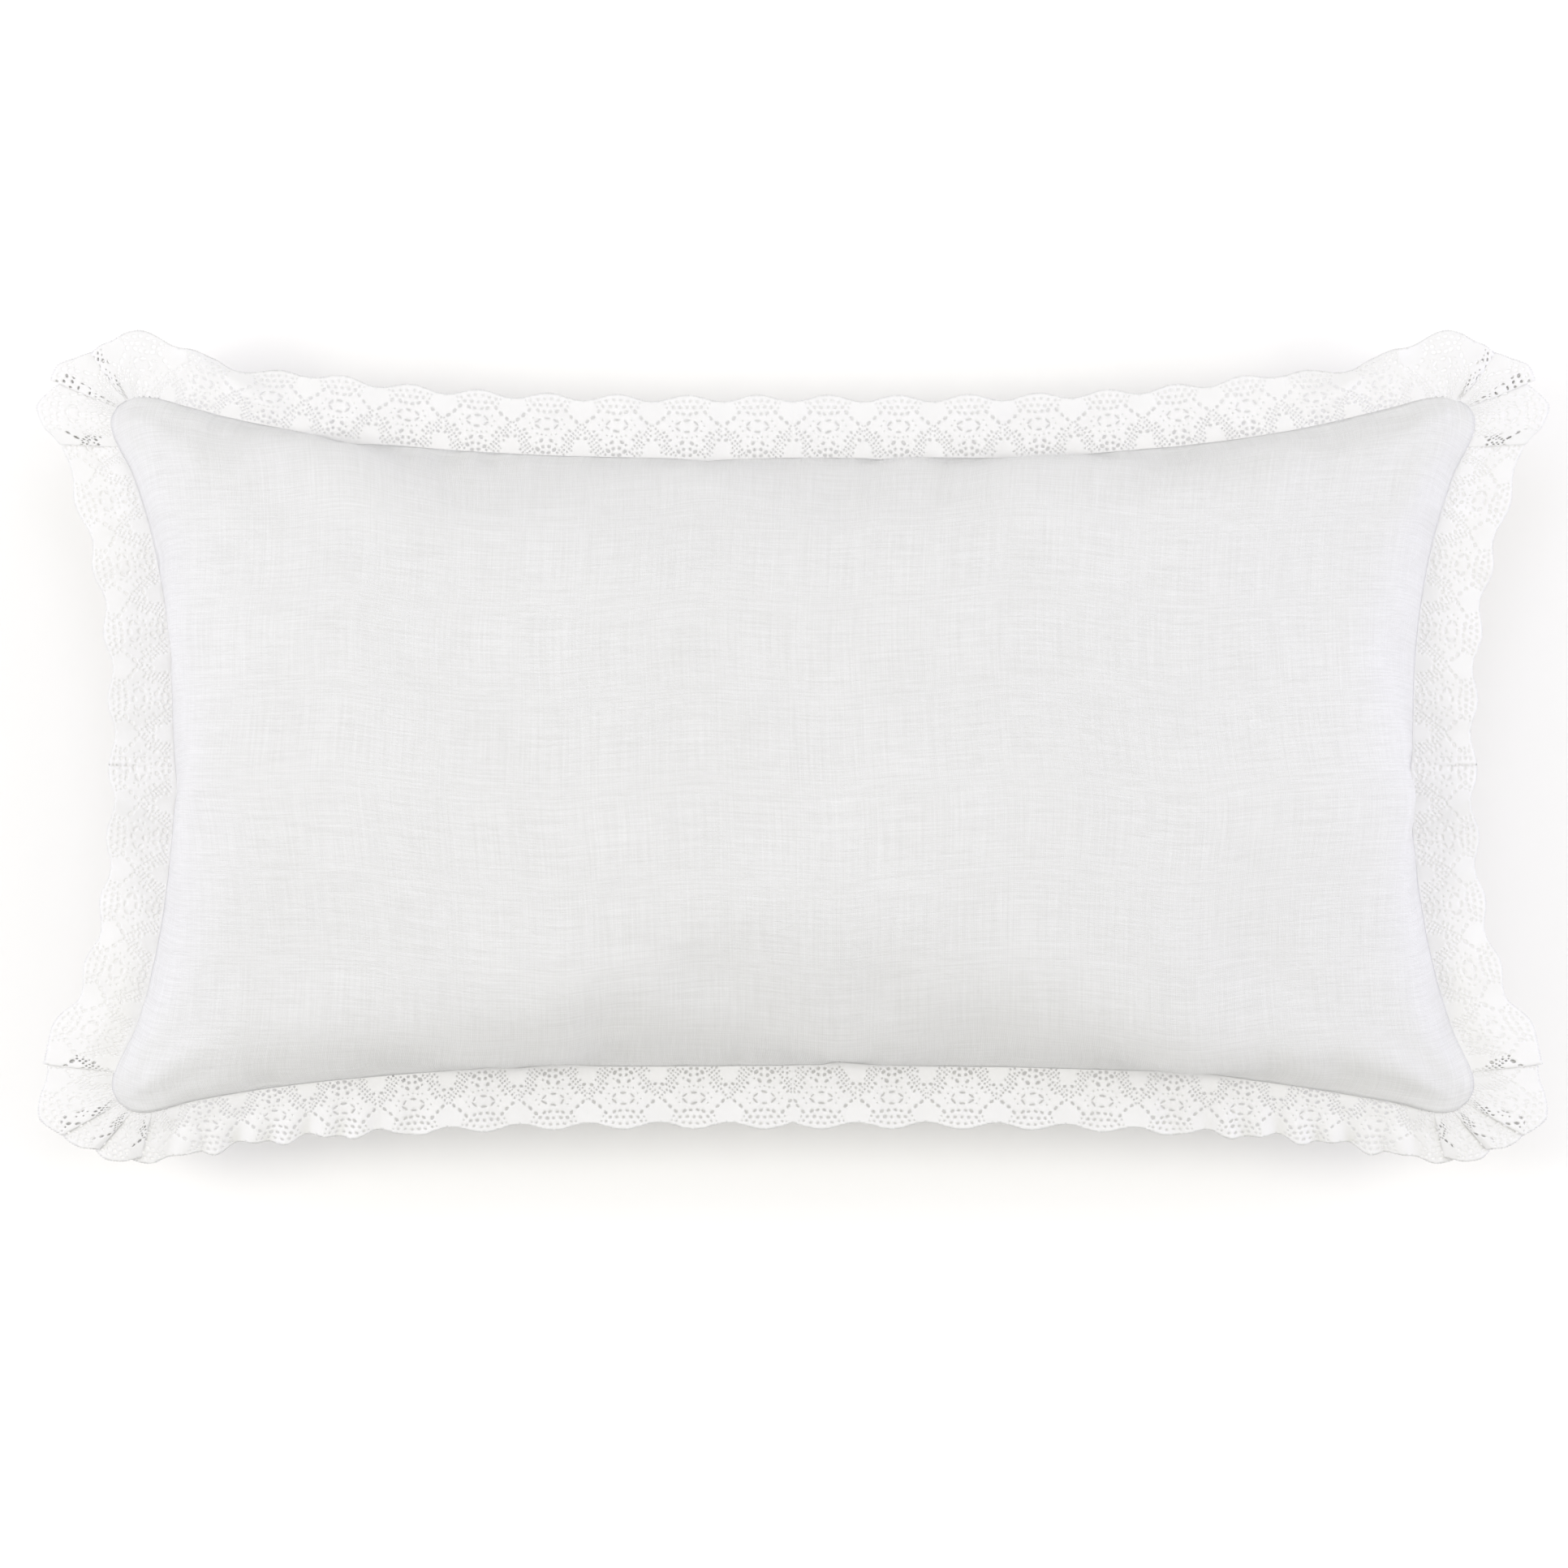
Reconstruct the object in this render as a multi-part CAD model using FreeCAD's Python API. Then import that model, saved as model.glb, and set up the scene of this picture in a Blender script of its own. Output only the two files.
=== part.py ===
import FreeCAD, Part
import math
import os

# Rectangular accent pillow: a slub-weave cover with a gathered cluny lace edging sewn into its
# edge seam, a coil zipper across the back, and a separate fibre-filled insert.
# Millimetres. X runs along the long side, Y towards the top edge, Z up through the face.
# The pillow lies on its back: the origin is on the surface below it, under the middle of its box.

Vec = FreeCAD.Vector

# ---- driving dimensions ----------------------------------------------------------------------
CUT_LENGTH = 660.4  # finished flat length of the cover, seam to seam, 26 in; it is 14 in across
CORNER_DRAW = 0.981  # stuffing draws the corners in to this share of the flat length
TOP_CORNER_Y = 166.1  # top corners of the edge seam, from the middle of the whole pillow
BOTTOM_CORNER_Y = -171.5
SIDE_PULL = 29.7  # how far the middle of each edge pulls in between its corners
TOP_PULL = 28.5
BOTTOM_PULL = 21.3
SIDE_POWER = 2.2  # how squarely each edge curves in: the pull-in is 1 - |t| ** power
TOP_POWER = 2.8
BOTTOM_POWER = 3.3
CROWN = 70.0  # height of the crown above the seam, on each face
LENGTH_DOME = 0.45  # share of the crown lost as a broad dome; the rest drops close to the seam
HEIGHT_DOME = 0.2
LENGTH_DROP = 10  # how late that drop comes along the length, and across the height
HEIGHT_DROP = 6
SEAM_Z = 64.0  # the edge seam above the surface: the crown of the back is pressed flat below it

CLOTH = 0.6
LACE = 1.0
ALLOWANCE = 10.0  # seam allowance turned inside the cover
ALLOWANCE_START = 0.5  # inside the thickness of the wall it is turned from
CLIP_X = 260.0  # the allowances are clipped away round the corners, beyond these
CLIP_Y = 95.0
INSERT_INSET = 11.0  # the insert's edge stops short of the allowances
INSERT_CLOTH = 0.4
LAYER_GAP = 0.4

LACE_WIDTH = 29.0  # lace showing beyond the seam along the sides
LACE_HALF_X = 358.8  # reach of the gathered lace at the corners
LACE_HALF_Y = 196.5
SCALLOP_PITCH = 33.5
SCALLOP_DEPTH = 2.2
CORNER_SIDE = (14.0, 60.0)  # where the gathered corner starts, in from the lace's furthest reach
CORNER_END = (80.0, 13.0)
CORNER_FOLDS = ((0.0, 42.0), (8.0, 24.0), (9.0, 11.0), (24.0, 10.0), (50.0, 0.0))

LABEL_PLACE = -0.62  # along the bottom seam, from -1 to 1
LABEL_WIDTH = 32.0
LABEL_DROP = 24.0
LABEL_THICKNESS = 0.5
LABEL_OFFSET = 3.0  # out from the seam

ZIPPER_Y = -124.0
ZIPPER_HALF = 180.0  # half the length of the tapes, along their arc
CHAIN_HALF = 172.0
SLOT_HALF = 4.75  # half the gap between the two back panels
HEM_WIDTH = 6.0
HEM_LAP = 0.6  # the hem runs this far under the panel it is turned from
SLIDER_HOME = 164.0  # the slider's middle when closed, along the arc from the middle
SLIDER_OPEN = -166.0
STOP_GAP = 6.2  # from the slider's middle to the near end of a stop

# Depths through the zipper, inwards from the outer face of the back panel.
COIL_DEPTH = (0.2, 2.0)
TAPE_DEPTH = (2.0, 2.5)
TAPE_HALF = 10.5
HEM_DEPTH = (0.0, 2.0)
OUTER_PLATE = (-1.6, -0.15)
INNER_PLATE = (2.85, 4.2)
FLANGE_END = 1.6
BRIDGE_TOP = -4.3
BRIDGE_BAR = 0.9
PIVOT_DEPTH = -2.45

# The slider and its pull, along and across the chain.
PLATE_HALF = (5.0, 4.0)
INNER_HALF = (4.6, 3.7)
PLATE_CORNER = 1.2
WEDGE_ALONG = (1.2, 4.8)
WEDGE_HALF = 0.2
FLANGE_ALONG = (-3.7, 2.0)
FLANGE_ACROSS = (3.1, 4.0)
BRIDGE_HALF = (3.9, 0.8)
BRIDGE_LEG = 1.0
PIN_RADIUS = 0.55
PULL_HALF = 2.2  # half the pull's width, and the radius of its tip
PULL_THICKNESS = 1.0
ARM_INNER = 1.2
ARM_LENGTH = 6.0
TAB_START = 5.0  # down from the crossbar
TAB_LENGTH = 11.0
STOP_HALF = 2.8
STOP_LENGTH = (3.0, 4.0)  # top stops, bottom stop
COIL_ACROSS = (0.5, 2.4)
TAPE_INNER = 0.9

FILLING_GAP = 0.15
SLOT_CUT = (-6.0, 8.0)  # depths cleared for the hems and the zipper
SLOPE_STEP = 8.0

BIG = 1000.0


# ---- the cushion's own surface ---------------------------------------------------------------
def half_length(v, inset):
    """Half the length of the seam outline at height v, from -1 at the bottom to 1 at the top."""
    return CUT_LENGTH / 2 * CORNER_DRAW - SIDE_PULL * (1 - abs(v) ** SIDE_POWER) - inset


def seam_point(u, v, inset, z):
    """The point of the seam plane at u along and v across, both from -1 to 1."""
    top = TOP_CORNER_Y - TOP_PULL * (1 - abs(u) ** TOP_POWER) - inset
    bottom = BOTTOM_CORNER_Y + BOTTOM_PULL * (1 - abs(u) ** BOTTOM_POWER) + inset
    return Vec(u * half_length(v, inset), bottom + (top - bottom) * (v + 1) / 2, z)


def crown_at(u, v):
    """The crown's height at u, v as a share of its height in the middle."""
    along = 1 - LENGTH_DOME * u**2 - (1 - LENGTH_DOME) * u**LENGTH_DROP
    return along * (1 - HEIGHT_DOME * v**2 - (1 - HEIGHT_DOME) * v**HEIGHT_DROP)


def shares(count):
    """Places from -1 to 1, closer together towards the ends."""
    return [math.sin(math.pi * (i / count - 0.5)) for i in range(count + 1)]


def flatten_rim(surface, z):
    """Puts the surface's edges exactly in the horizontal plane at z."""
    last_u, last_v = surface.NbUPoles, surface.NbVPoles
    for i in range(1, last_u + 1):
        for j in range(1, last_v + 1):
            if i in (1, last_u) or j in (1, last_v):
                pole = surface.getPole(i, j)
                pole.z = z
                surface.setPole(i, j, pole)


def half_cushion(inset, base_z, crown, side):
    """A solid from the seam plane at base_z up (side 1) or down (side -1) to the crowned face."""
    rows = []
    for u in shares(24):
        row = []
        for v in shares(16):
            point = seam_point(u, v, inset, base_z)
            point.z += side * crown * crown_at(u, v)
            row.append(point)
        rows.append(row)
    surface = Part.BSplineSurface()
    surface.interpolate(rows)
    flatten_rim(surface, base_z)
    crowned = surface.toShape()
    base = Part.Face(Part.Wire(Part.__sortEdges__(crowned.Edges)))
    shell = Part.makeShell([crowned, base])
    shell.sewShape()
    solid = Part.makeSolid(shell)
    if solid.Volume < 0:
        solid.reverse()
    return solid


def outline(inset, z):
    """The seam outline moved inwards by inset, as a closed wire."""
    steps = [i / 12 - 1 for i in range(25)]
    sides = [
        [seam_point(t, -1, inset, z) for t in steps],
        [seam_point(1, t, inset, z) for t in steps],
        [seam_point(-t, 1, inset, z) for t in steps],
        [seam_point(-1, -t, inset, z) for t in steps],
    ]
    edges = []
    for points in sides:
        curve = Part.BSplineCurve()
        curve.interpolate(points)
        edges.append(curve.toShape())
    return Part.Wire(edges)


def ring(outer, inner, thickness):
    """A flat plate between two closed wires in one horizontal plane, thickness upwards."""
    outer_plate = Part.Face(outer).extrude(Vec(0, 0, thickness))
    return outer_plate.cut(Part.Face(inner).extrude(Vec(0, 0, thickness)))


def above(z):
    return Part.makeBox(2 * BIG, 2 * BIG, BIG, Vec(-BIG, -BIG, z))


def slab(half_x, half_y):
    """Everything within half_x and half_y of the middle, in plan."""
    return Part.makeBox(2 * half_x, 2 * half_y, BIG, Vec(-half_x, -half_y, 0))


# ---- the zipper's frame ----------------------------------------------------------------------
# The chain follows an arc of a large circle in the X-Z plane, and every zipper piece is drawn in
# the section x = 0: w runs across the chain towards the top edge, d inwards from the outer face.
def underside(x, y):
    """Height of the back panel's outer face at x, y, before it is pressed flat."""
    u = x / half_length(0, 0)
    v = 0.0
    for _ in range(40):
        u = x / half_length(v, 0)
        low = seam_point(u, -1, 0, 0).y
        high = seam_point(u, 1, 0, 0).y
        v = 2 * (y - low) / (high - low) - 1
    return SEAM_Z - LACE / 2 - (CROWN - LACE / 2) * crown_at(u, v)


def slope(x):
    """How steeply the underside climbs towards the bottom edge at x, in radians."""
    rise = underside(x, ZIPPER_Y - SLOPE_STEP) - underside(x, ZIPPER_Y + SLOPE_STEP)
    return math.atan(rise / (2 * SLOPE_STEP))


MIDDLE_Z = underside(0, ZIPPER_Y)
SLOPE = (slope(0) + slope(ZIPPER_HALF)) / 2
SAG = underside(ZIPPER_HALF, ZIPPER_Y) - MIDDLE_Z
ARC_RADIUS = (ZIPPER_HALF**2 + SAG**2) / (2 * SAG)
ARC_CENTRE = Vec(0, ZIPPER_Y, MIDDLE_Z + ARC_RADIUS)
ACROSS = Vec(0, math.cos(SLOPE), -math.sin(SLOPE))
INWARD = Vec(0, math.sin(SLOPE), math.cos(SLOPE))
ALONG = Vec(1, 0, 0)
MIDDLE = Vec(0, ZIPPER_Y, MIDDLE_Z)


def turned(shape, along):
    """The shape moved along the arc from the middle to that arc length, towards +X."""
    moved = shape.copy()
    moved.rotate(ARC_CENTRE, Vec(0, 1, 0), -math.degrees(along / ARC_RADIUS))
    return moved


def local(along, w, d):
    """A point in the zipper's section frame at the middle of the chain."""
    return MIDDLE + ALONG * along + ACROSS * w + INWARD * d


def swept(w_range, d_range, start, end):
    """A strip of the zipper with a rectangular section, from arc length start to end."""
    (w0, w1), (d0, d1) = w_range, d_range
    corners = [local(0, w0, d0), local(0, w1, d0), local(0, w1, d1), local(0, w0, d1)]
    face = Part.Face(Part.makePolygon(corners + corners[:1]))
    strip = face.revolve(ARC_CENTRE, Vec(0, 1, 0), -math.degrees((end - start) / ARC_RADIUS))
    return turned(strip, start)


def block(x_range, w_range, d_range):
    """A straight block in the zipper's frame, at the middle of the chain."""
    (x0, x1), (w0, w1), (d0, d1) = x_range, w_range, d_range
    corners = [local(x0, w0, d0), local(x1, w0, d0), local(x1, w1, d0), local(x0, w1, d0)]
    face = Part.Face(Part.makePolygon(corners + corners[:1]))
    return face.extrude(INWARD * (d1 - d0))


def plate(x_range, half_width, d_range):
    """A slider plate: a block with its four corners rounded."""
    blank = block(x_range, (-half_width, half_width), d_range)
    corners = []
    for edge in blank.Edges:
        way = edge.Vertexes[1].Point - edge.Vertexes[0].Point
        if abs(way.normalize().dot(INWARD)) > 0.999:
            corners.append(edge)
    return blank.makeFillet(PLATE_CORNER, corners)


def rod(start, end, radius):
    """A round rod from start to end."""
    return Part.makeCylinder(radius, (end - start).Length, start, end - start)


def mirrored_range(low, high, side):
    return (low, high) if side > 0 else (-high, -low)


# ---- cover -----------------------------------------------------------------------------------
def cover_half(side):
    """One face of the cover with its seam allowance turned in along the seam plane."""
    base = SEAM_Z + side * LACE / 2
    crown = CROWN - LACE / 2
    outer = half_cushion(0, base, crown, side)
    hollow = half_cushion(CLOTH, base, crown - CLOTH, side)
    if side < 0:
        outer = outer.common(above(0))
        hollow = hollow.common(above(CLOTH))
    low = min(base, base + side * CLOTH)
    allowance = ring(outline(ALLOWANCE_START, low), outline(ALLOWANCE, low), CLOTH)
    between_corners = slab(CLIP_X, BIG).fuse(slab(BIG, CLIP_Y))
    return outer.cut(hollow).fuse(allowance.common(between_corners))


def back_panels():
    """The back's upper and lower panels, with the slot for the zipper between their hems."""
    hem_edge = SLOT_HALF + HEM_WIDTH
    hem_end = ZIPPER_HALF + HEM_LAP
    back = cover_half(-1).cut(swept((-hem_edge, hem_edge), SLOT_CUT, -ZIPPER_HALF, ZIPPER_HALF))
    panels = []
    for side in (1, -1):
        corner = Vec(-BIG, ZIPPER_Y if side > 0 else ZIPPER_Y - BIG, -BIG)
        half_space = Part.makeBox(2 * BIG, BIG, 2 * BIG, corner)
        hem_width = mirrored_range(SLOT_HALF, hem_edge + HEM_LAP, side)
        hem = swept(hem_width, HEM_DEPTH, -hem_end, hem_end)
        panels.append(back.common(half_space).fuse(hem).removeSplitter())
    return panels


# ---- lace edging -----------------------------------------------------------------------------
def scallops(start, end, middle, power):
    """Valley and lobe points of a scalloped edge from start to end, pulled in by middle."""
    span = end - start
    outward = Vec(span.y, -span.x, 0).normalize()
    count = round(span.Length / SCALLOP_PITCH)
    points = []
    for i in range(2 * count + 1):
        t = i / count - 1
        reach = SCALLOP_DEPTH if i % 2 else 0.0
        points.append(start + span * ((t + 1) / 2) + outward * (reach - middle * (1 - abs(t) ** power)))
    return points


def gathered_corner(sx, sy):
    """Valley and lobe points of the three lace folds round a corner, from its side to its end."""
    insets = [CORNER_SIDE, *CORNER_FOLDS, CORNER_END]
    return [Vec(sx * (LACE_HALF_X - x), sy * (LACE_HALF_Y - y), 0) for x, y in insets]


def lace_outline():
    """The scalloped outer edge, anticlockwise from the bottom right corner."""
    right_bottom = gathered_corner(1, -1)[::-1]
    right_top = gathered_corner(1, 1)
    left_top = gathered_corner(-1, 1)[::-1]
    left_bottom = gathered_corner(-1, -1)
    side_pull = LACE_HALF_X - CORNER_SIDE[0] - (half_length(0, 0) + LACE_WIDTH)
    end_y = LACE_HALF_Y - CORNER_END[1]
    top_edge = TOP_CORNER_Y - TOP_PULL + LACE_WIDTH
    bottom_edge = -(BOTTOM_CORNER_Y + BOTTOM_PULL) + LACE_WIDTH
    points = (
        right_bottom[:-1]
        + scallops(right_bottom[-1], right_top[0], side_pull, SIDE_POWER)[:-1]
        + right_top[:-1]
        + scallops(right_top[-1], left_top[0], end_y - top_edge, TOP_POWER)[:-1]
        + left_top[:-1]
        + scallops(left_top[-1], left_bottom[0], side_pull, SIDE_POWER)[:-1]
        + left_bottom[:-1]
        + scallops(left_bottom[-1], right_bottom[0], end_y - bottom_edge, BOTTOM_POWER)
    )
    edges = []
    for i in range(0, len(points) - 2, 2):
        edges.append(Part.Arc(points[i], points[i + 1], points[i + 2]).toShape())
    wire = Part.Wire(edges)
    wire.translate(Vec(0, 0, SEAM_Z - LACE / 2))
    return wire


def lace_trim():
    return ring(lace_outline(), outline(ALLOWANCE, SEAM_Z - LACE / 2), LACE)


def care_label():
    """A folded blank label caught in the bottom seam, hanging behind the lace."""
    seam = seam_point(LABEL_PLACE, -1, 0, SEAM_Z - LACE / 2 - LABEL_DROP)
    corner = seam - Vec(LABEL_WIDTH / 2, LABEL_OFFSET, 0)
    return Part.makeBox(LABEL_WIDTH, LABEL_THICKNESS, LABEL_DROP, corner)


# ---- zipper ----------------------------------------------------------------------------------
def tape(side):
    width = mirrored_range(TAPE_INNER, TAPE_HALF, side)
    return swept(width, TAPE_DEPTH, -ZIPPER_HALF, ZIPPER_HALF)


def coil(side):
    width = mirrored_range(*COIL_ACROSS, side)
    return swept(width, COIL_DEPTH, -CHAIN_HALF, SLIDER_HOME + STOP_GAP)


def top_stops():
    """One crimped stop on each tape, just past the closed slider."""
    start = SLIDER_HOME + STOP_GAP
    stops = []
    for side in (1, -1):
        width = mirrored_range(COIL_ACROSS[0], STOP_HALF, side)
        stops.append(swept(width, COIL_DEPTH, start, start + STOP_LENGTH[0]))
    return Part.makeCompound(stops)


def bottom_stop():
    return swept((-STOP_HALF, STOP_HALF), COIL_DEPTH, -CHAIN_HALF - STOP_LENGTH[1], -CHAIN_HALF)


def slider_body():
    """Two plates joined by the wedge between the rows of coil, with a flange down each side."""
    between = (OUTER_PLATE[1], INNER_PLATE[0])
    body = plate((-PLATE_HALF[0], PLATE_HALF[0]), PLATE_HALF[1], OUTER_PLATE)
    body = body.fuse(plate((-INNER_HALF[0], PLATE_HALF[0]), INNER_HALF[1], INNER_PLATE))
    body = body.fuse(block(WEDGE_ALONG, (-WEDGE_HALF, WEDGE_HALF), between))
    for side in (1, -1):
        flange = mirrored_range(*FLANGE_ACROSS, side)
        body = body.fuse(block(FLANGE_ALONG, flange, (OUTER_PLATE[1], FLANGE_END)))
    return turned(body.removeSplitter(), SLIDER_HOME)


def slider_bridge():
    """The arch on the outer plate that holds the pull's crossbar."""
    long, wide = BRIDGE_HALF
    under = BRIDGE_TOP + BRIDGE_BAR
    bar = block((-long, long), (-wide, wide), (BRIDGE_TOP, under))
    for legs in ((-long, BRIDGE_LEG - long), (long - BRIDGE_LEG, long)):
        bar = bar.fuse(block(legs, (-wide, wide), (under, OUTER_PLATE[0])))
    return turned(bar.removeSplitter(), SLIDER_HOME)


def pull_tab():
    """Crossbar, two arms and a rounded tab, hanging straight down from the slider."""
    pull = rod(local(0, -PULL_HALF, PIVOT_DEPTH), local(0, PULL_HALF, PIVOT_DEPTH), PIN_RADIUS)
    flat = (-PULL_THICKNESS / 2, PULL_THICKNESS / 2)
    for side in (1, -1):
        arm = mirrored_range(ARM_INNER, PULL_HALF, side)
        pull = pull.fuse(block(flat, arm, (PIVOT_DEPTH - ARM_LENGTH, PIVOT_DEPTH)))
    tab_end = PIVOT_DEPTH - TAB_LENGTH
    tab = block(flat, (-PULL_HALF, PULL_HALF), (tab_end, PIVOT_DEPTH - TAB_START))
    tip = rod(local(flat[0], 0, tab_end), local(flat[1], 0, tab_end), PULL_HALF)
    pull = pull.fuse(tab).fuse(tip).removeSplitter()
    hang = math.degrees(SLIDER_HOME / ARC_RADIUS)
    pull.rotate(local(0, 0, PIVOT_DEPTH), ACROSS, hang)
    return turned(pull, SLIDER_HOME)


# ---- insert ----------------------------------------------------------------------------------
def insert_half(depth, side):
    """Half of the insert, depth inside its casing's outer face."""
    gap = CLOTH + LAYER_GAP + depth
    half = half_cushion(INSERT_INSET + depth, SEAM_Z, CROWN - gap, side)
    if side > 0:
        return half
    return half.common(above(gap))


def insert_casing(side):
    return insert_half(0, side).cut(insert_half(INSERT_CLOTH, side))


def filling():
    depth = INSERT_CLOTH + FILLING_GAP
    return insert_half(depth, 1).fuse(insert_half(depth, -1)).removeSplitter()


# ---- export ----------------------------------------------------------------------------------
def build():
    upper, lower = back_panels()
    return {
        "front_panel": cover_half(1),
        "back_panel_upper": upper,
        "back_panel_lower": lower,
        "lace_trim": lace_trim(),
        "care_label": care_label(),
        "zipper_tape_upper": tape(1),
        "zipper_tape_lower": tape(-1),
        "zipper_coil_upper": coil(1),
        "zipper_coil_lower": coil(-1),
        "zipper_top_stops": top_stops(),
        "zipper_bottom_stop": bottom_stop(),
        "zipper_slider": slider_body(),
        "zipper_slider_bridge": slider_bridge(),
        "zipper_pull": pull_tab(),
        "insert_casing_front": insert_casing(1),
        "insert_casing_back": insert_casing(-1),
        "insert_filling": filling(),
    }


def report_frame():
    """Prints the joints' places for the record: the slider's arc and the pull's pivot."""
    pivot = turned(Part.Vertex(local(0, 0, PIVOT_DEPTH)), SLIDER_HOME).Point
    far = turned(Part.Vertex(local(0, 10, PIVOT_DEPTH)), SLIDER_HOME).Point
    axis = (far - pivot).normalize()
    travel = math.degrees((SLIDER_HOME - SLIDER_OPEN) / ARC_RADIUS)
    print("arc centre", ARC_CENTRE, "radius", ARC_RADIUS, "slope", math.degrees(SLOPE), "travel", travel)
    print("pull pivot", pivot, "axis", axis)


os.makedirs("parts", exist_ok=True)
for node, shape in build().items():
    print(node, "solids", len(shape.Solids), "valid", shape.isValid(), "volume", round(shape.Volume))
    shape.exportStep("parts/" + node + ".step")
report_frame()
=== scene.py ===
import math

import bmesh
import bpy
import numpy as np
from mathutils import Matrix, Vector
from mathutils.bvhtree import BVHTree
from mathutils.geometry import delaunay_2d_cdt
from mathutils.kdtree import KDTree


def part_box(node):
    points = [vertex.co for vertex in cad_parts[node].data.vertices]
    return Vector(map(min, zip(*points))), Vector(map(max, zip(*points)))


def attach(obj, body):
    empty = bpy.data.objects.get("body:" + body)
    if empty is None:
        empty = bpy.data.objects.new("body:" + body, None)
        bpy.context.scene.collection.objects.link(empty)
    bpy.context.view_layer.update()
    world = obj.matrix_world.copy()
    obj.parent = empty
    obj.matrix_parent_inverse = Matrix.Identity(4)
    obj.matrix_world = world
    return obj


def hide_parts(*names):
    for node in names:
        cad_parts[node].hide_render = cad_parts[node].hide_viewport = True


MM = 0.001
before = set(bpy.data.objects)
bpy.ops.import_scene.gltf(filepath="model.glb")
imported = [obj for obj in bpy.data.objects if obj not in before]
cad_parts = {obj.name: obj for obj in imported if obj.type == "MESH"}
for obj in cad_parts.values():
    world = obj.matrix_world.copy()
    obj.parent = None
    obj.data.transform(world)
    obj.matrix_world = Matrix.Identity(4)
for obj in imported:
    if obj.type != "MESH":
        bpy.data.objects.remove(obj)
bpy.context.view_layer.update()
scene = bpy.context.scene
rng = np.random.default_rng(7)

SEAM_Z = 0.064  # height of the edge seam
CUT = (0.6604, 0.3556)  # flat size of the cover, seam to seam
CROWN = 0.070  # rise of the face above the seam
CLOTH = 0.0006  # thickness of each piece of cloth
CASING = 0.0004
TAPE = 0.0003
RIBBON = 0.0002


# ---- small helpers -------------------------------------------------------------------------
def add_mesh(name, points, faces, uv=None, material=None, smooth=True, body="pillow"):
    """A mesh object in the scene, riding on its body; uv has one row for each point."""
    mesh = bpy.data.meshes.new(name)
    corners = [tuple(int(i) for i in f) for f in faces]
    mesh.from_pydata([tuple(p) for p in np.asarray(points, float)], [], corners)
    mesh.update()
    if uv is not None:
        layer = mesh.uv_layers.new(name="cloth")
        loops = np.zeros(len(mesh.loops), np.int64)
        mesh.loops.foreach_get("vertex_index", loops)
        layer.data.foreach_set("uv", np.asarray(uv, np.float32)[loops].ravel())
    if smooth:
        mesh.polygons.foreach_set("use_smooth", np.ones(len(mesh.polygons), bool))
    obj = bpy.data.objects.new(name, mesh)
    scene.collection.objects.link(obj)
    if material:
        mesh.materials.append(material)
    if body:
        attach(obj, body)
    return obj


def grid_faces(rows, columns, flip=False):
    """Quads over a grid of points; flip turns them over."""
    i, j = np.meshgrid(np.arange(rows - 1), np.arange(columns - 1), indexing="ij")
    a = (i * columns + j).ravel()
    quads = np.stack([a, a + columns, a + columns + 1, a + 1], axis=1)
    return quads[:, ::-1] if flip else quads


def tube_faces(rings, sides, base=0):
    """Quads round a tube of rings of points, with both its ends closed."""
    faces = []
    for first in range(base, base + (rings - 1) * sides, sides):
        for k in range(sides):
            n = (k + 1) % sides
            faces.append((first + k, first + n, first + sides + n, first + sides + k))
    last = base + (rings - 1) * sides
    faces.append(tuple(range(base, base + sides))[::-1])
    faces.append(tuple(range(last, last + sides)))
    return faces


def smoothstep(x, a, b):
    """0 below a, 1 above b, and an even rise between them."""
    t = np.clip((x - a) / (b - a), 0, 1)
    return t * t * (3 - 2 * t)


def run_along(points):
    """Distance along a polyline at each of its points."""
    return np.concatenate([[0], np.cumsum(np.linalg.norm(np.diff(points, axis=0), axis=1))])


def spaced(points, count):
    """The polyline resampled at count evenly spaced points."""
    points = np.asarray(points, float)
    run = run_along(points)
    at = np.linspace(0, run[-1], count)
    return np.stack([np.interp(at, run, points[:, k]) for k in range(points.shape[1])], axis=1)


def unit(vectors, least=1e-9):
    """The vectors brought to length one."""
    return vectors / np.maximum(np.linalg.norm(vectors, axis=-1), least)[..., None]


def surface_tree(*objects):
    """All the faces of the objects, ready for ray casts."""
    points, faces = [], []
    for obj in objects:
        base = len(points)
        points.extend(tuple(v.co) for v in obj.data.vertices)
        faces.extend(tuple(base + i for i in p.vertices) for p in obj.data.polygons)
    return BVHTree.FromPolygons(points, faces)


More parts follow.
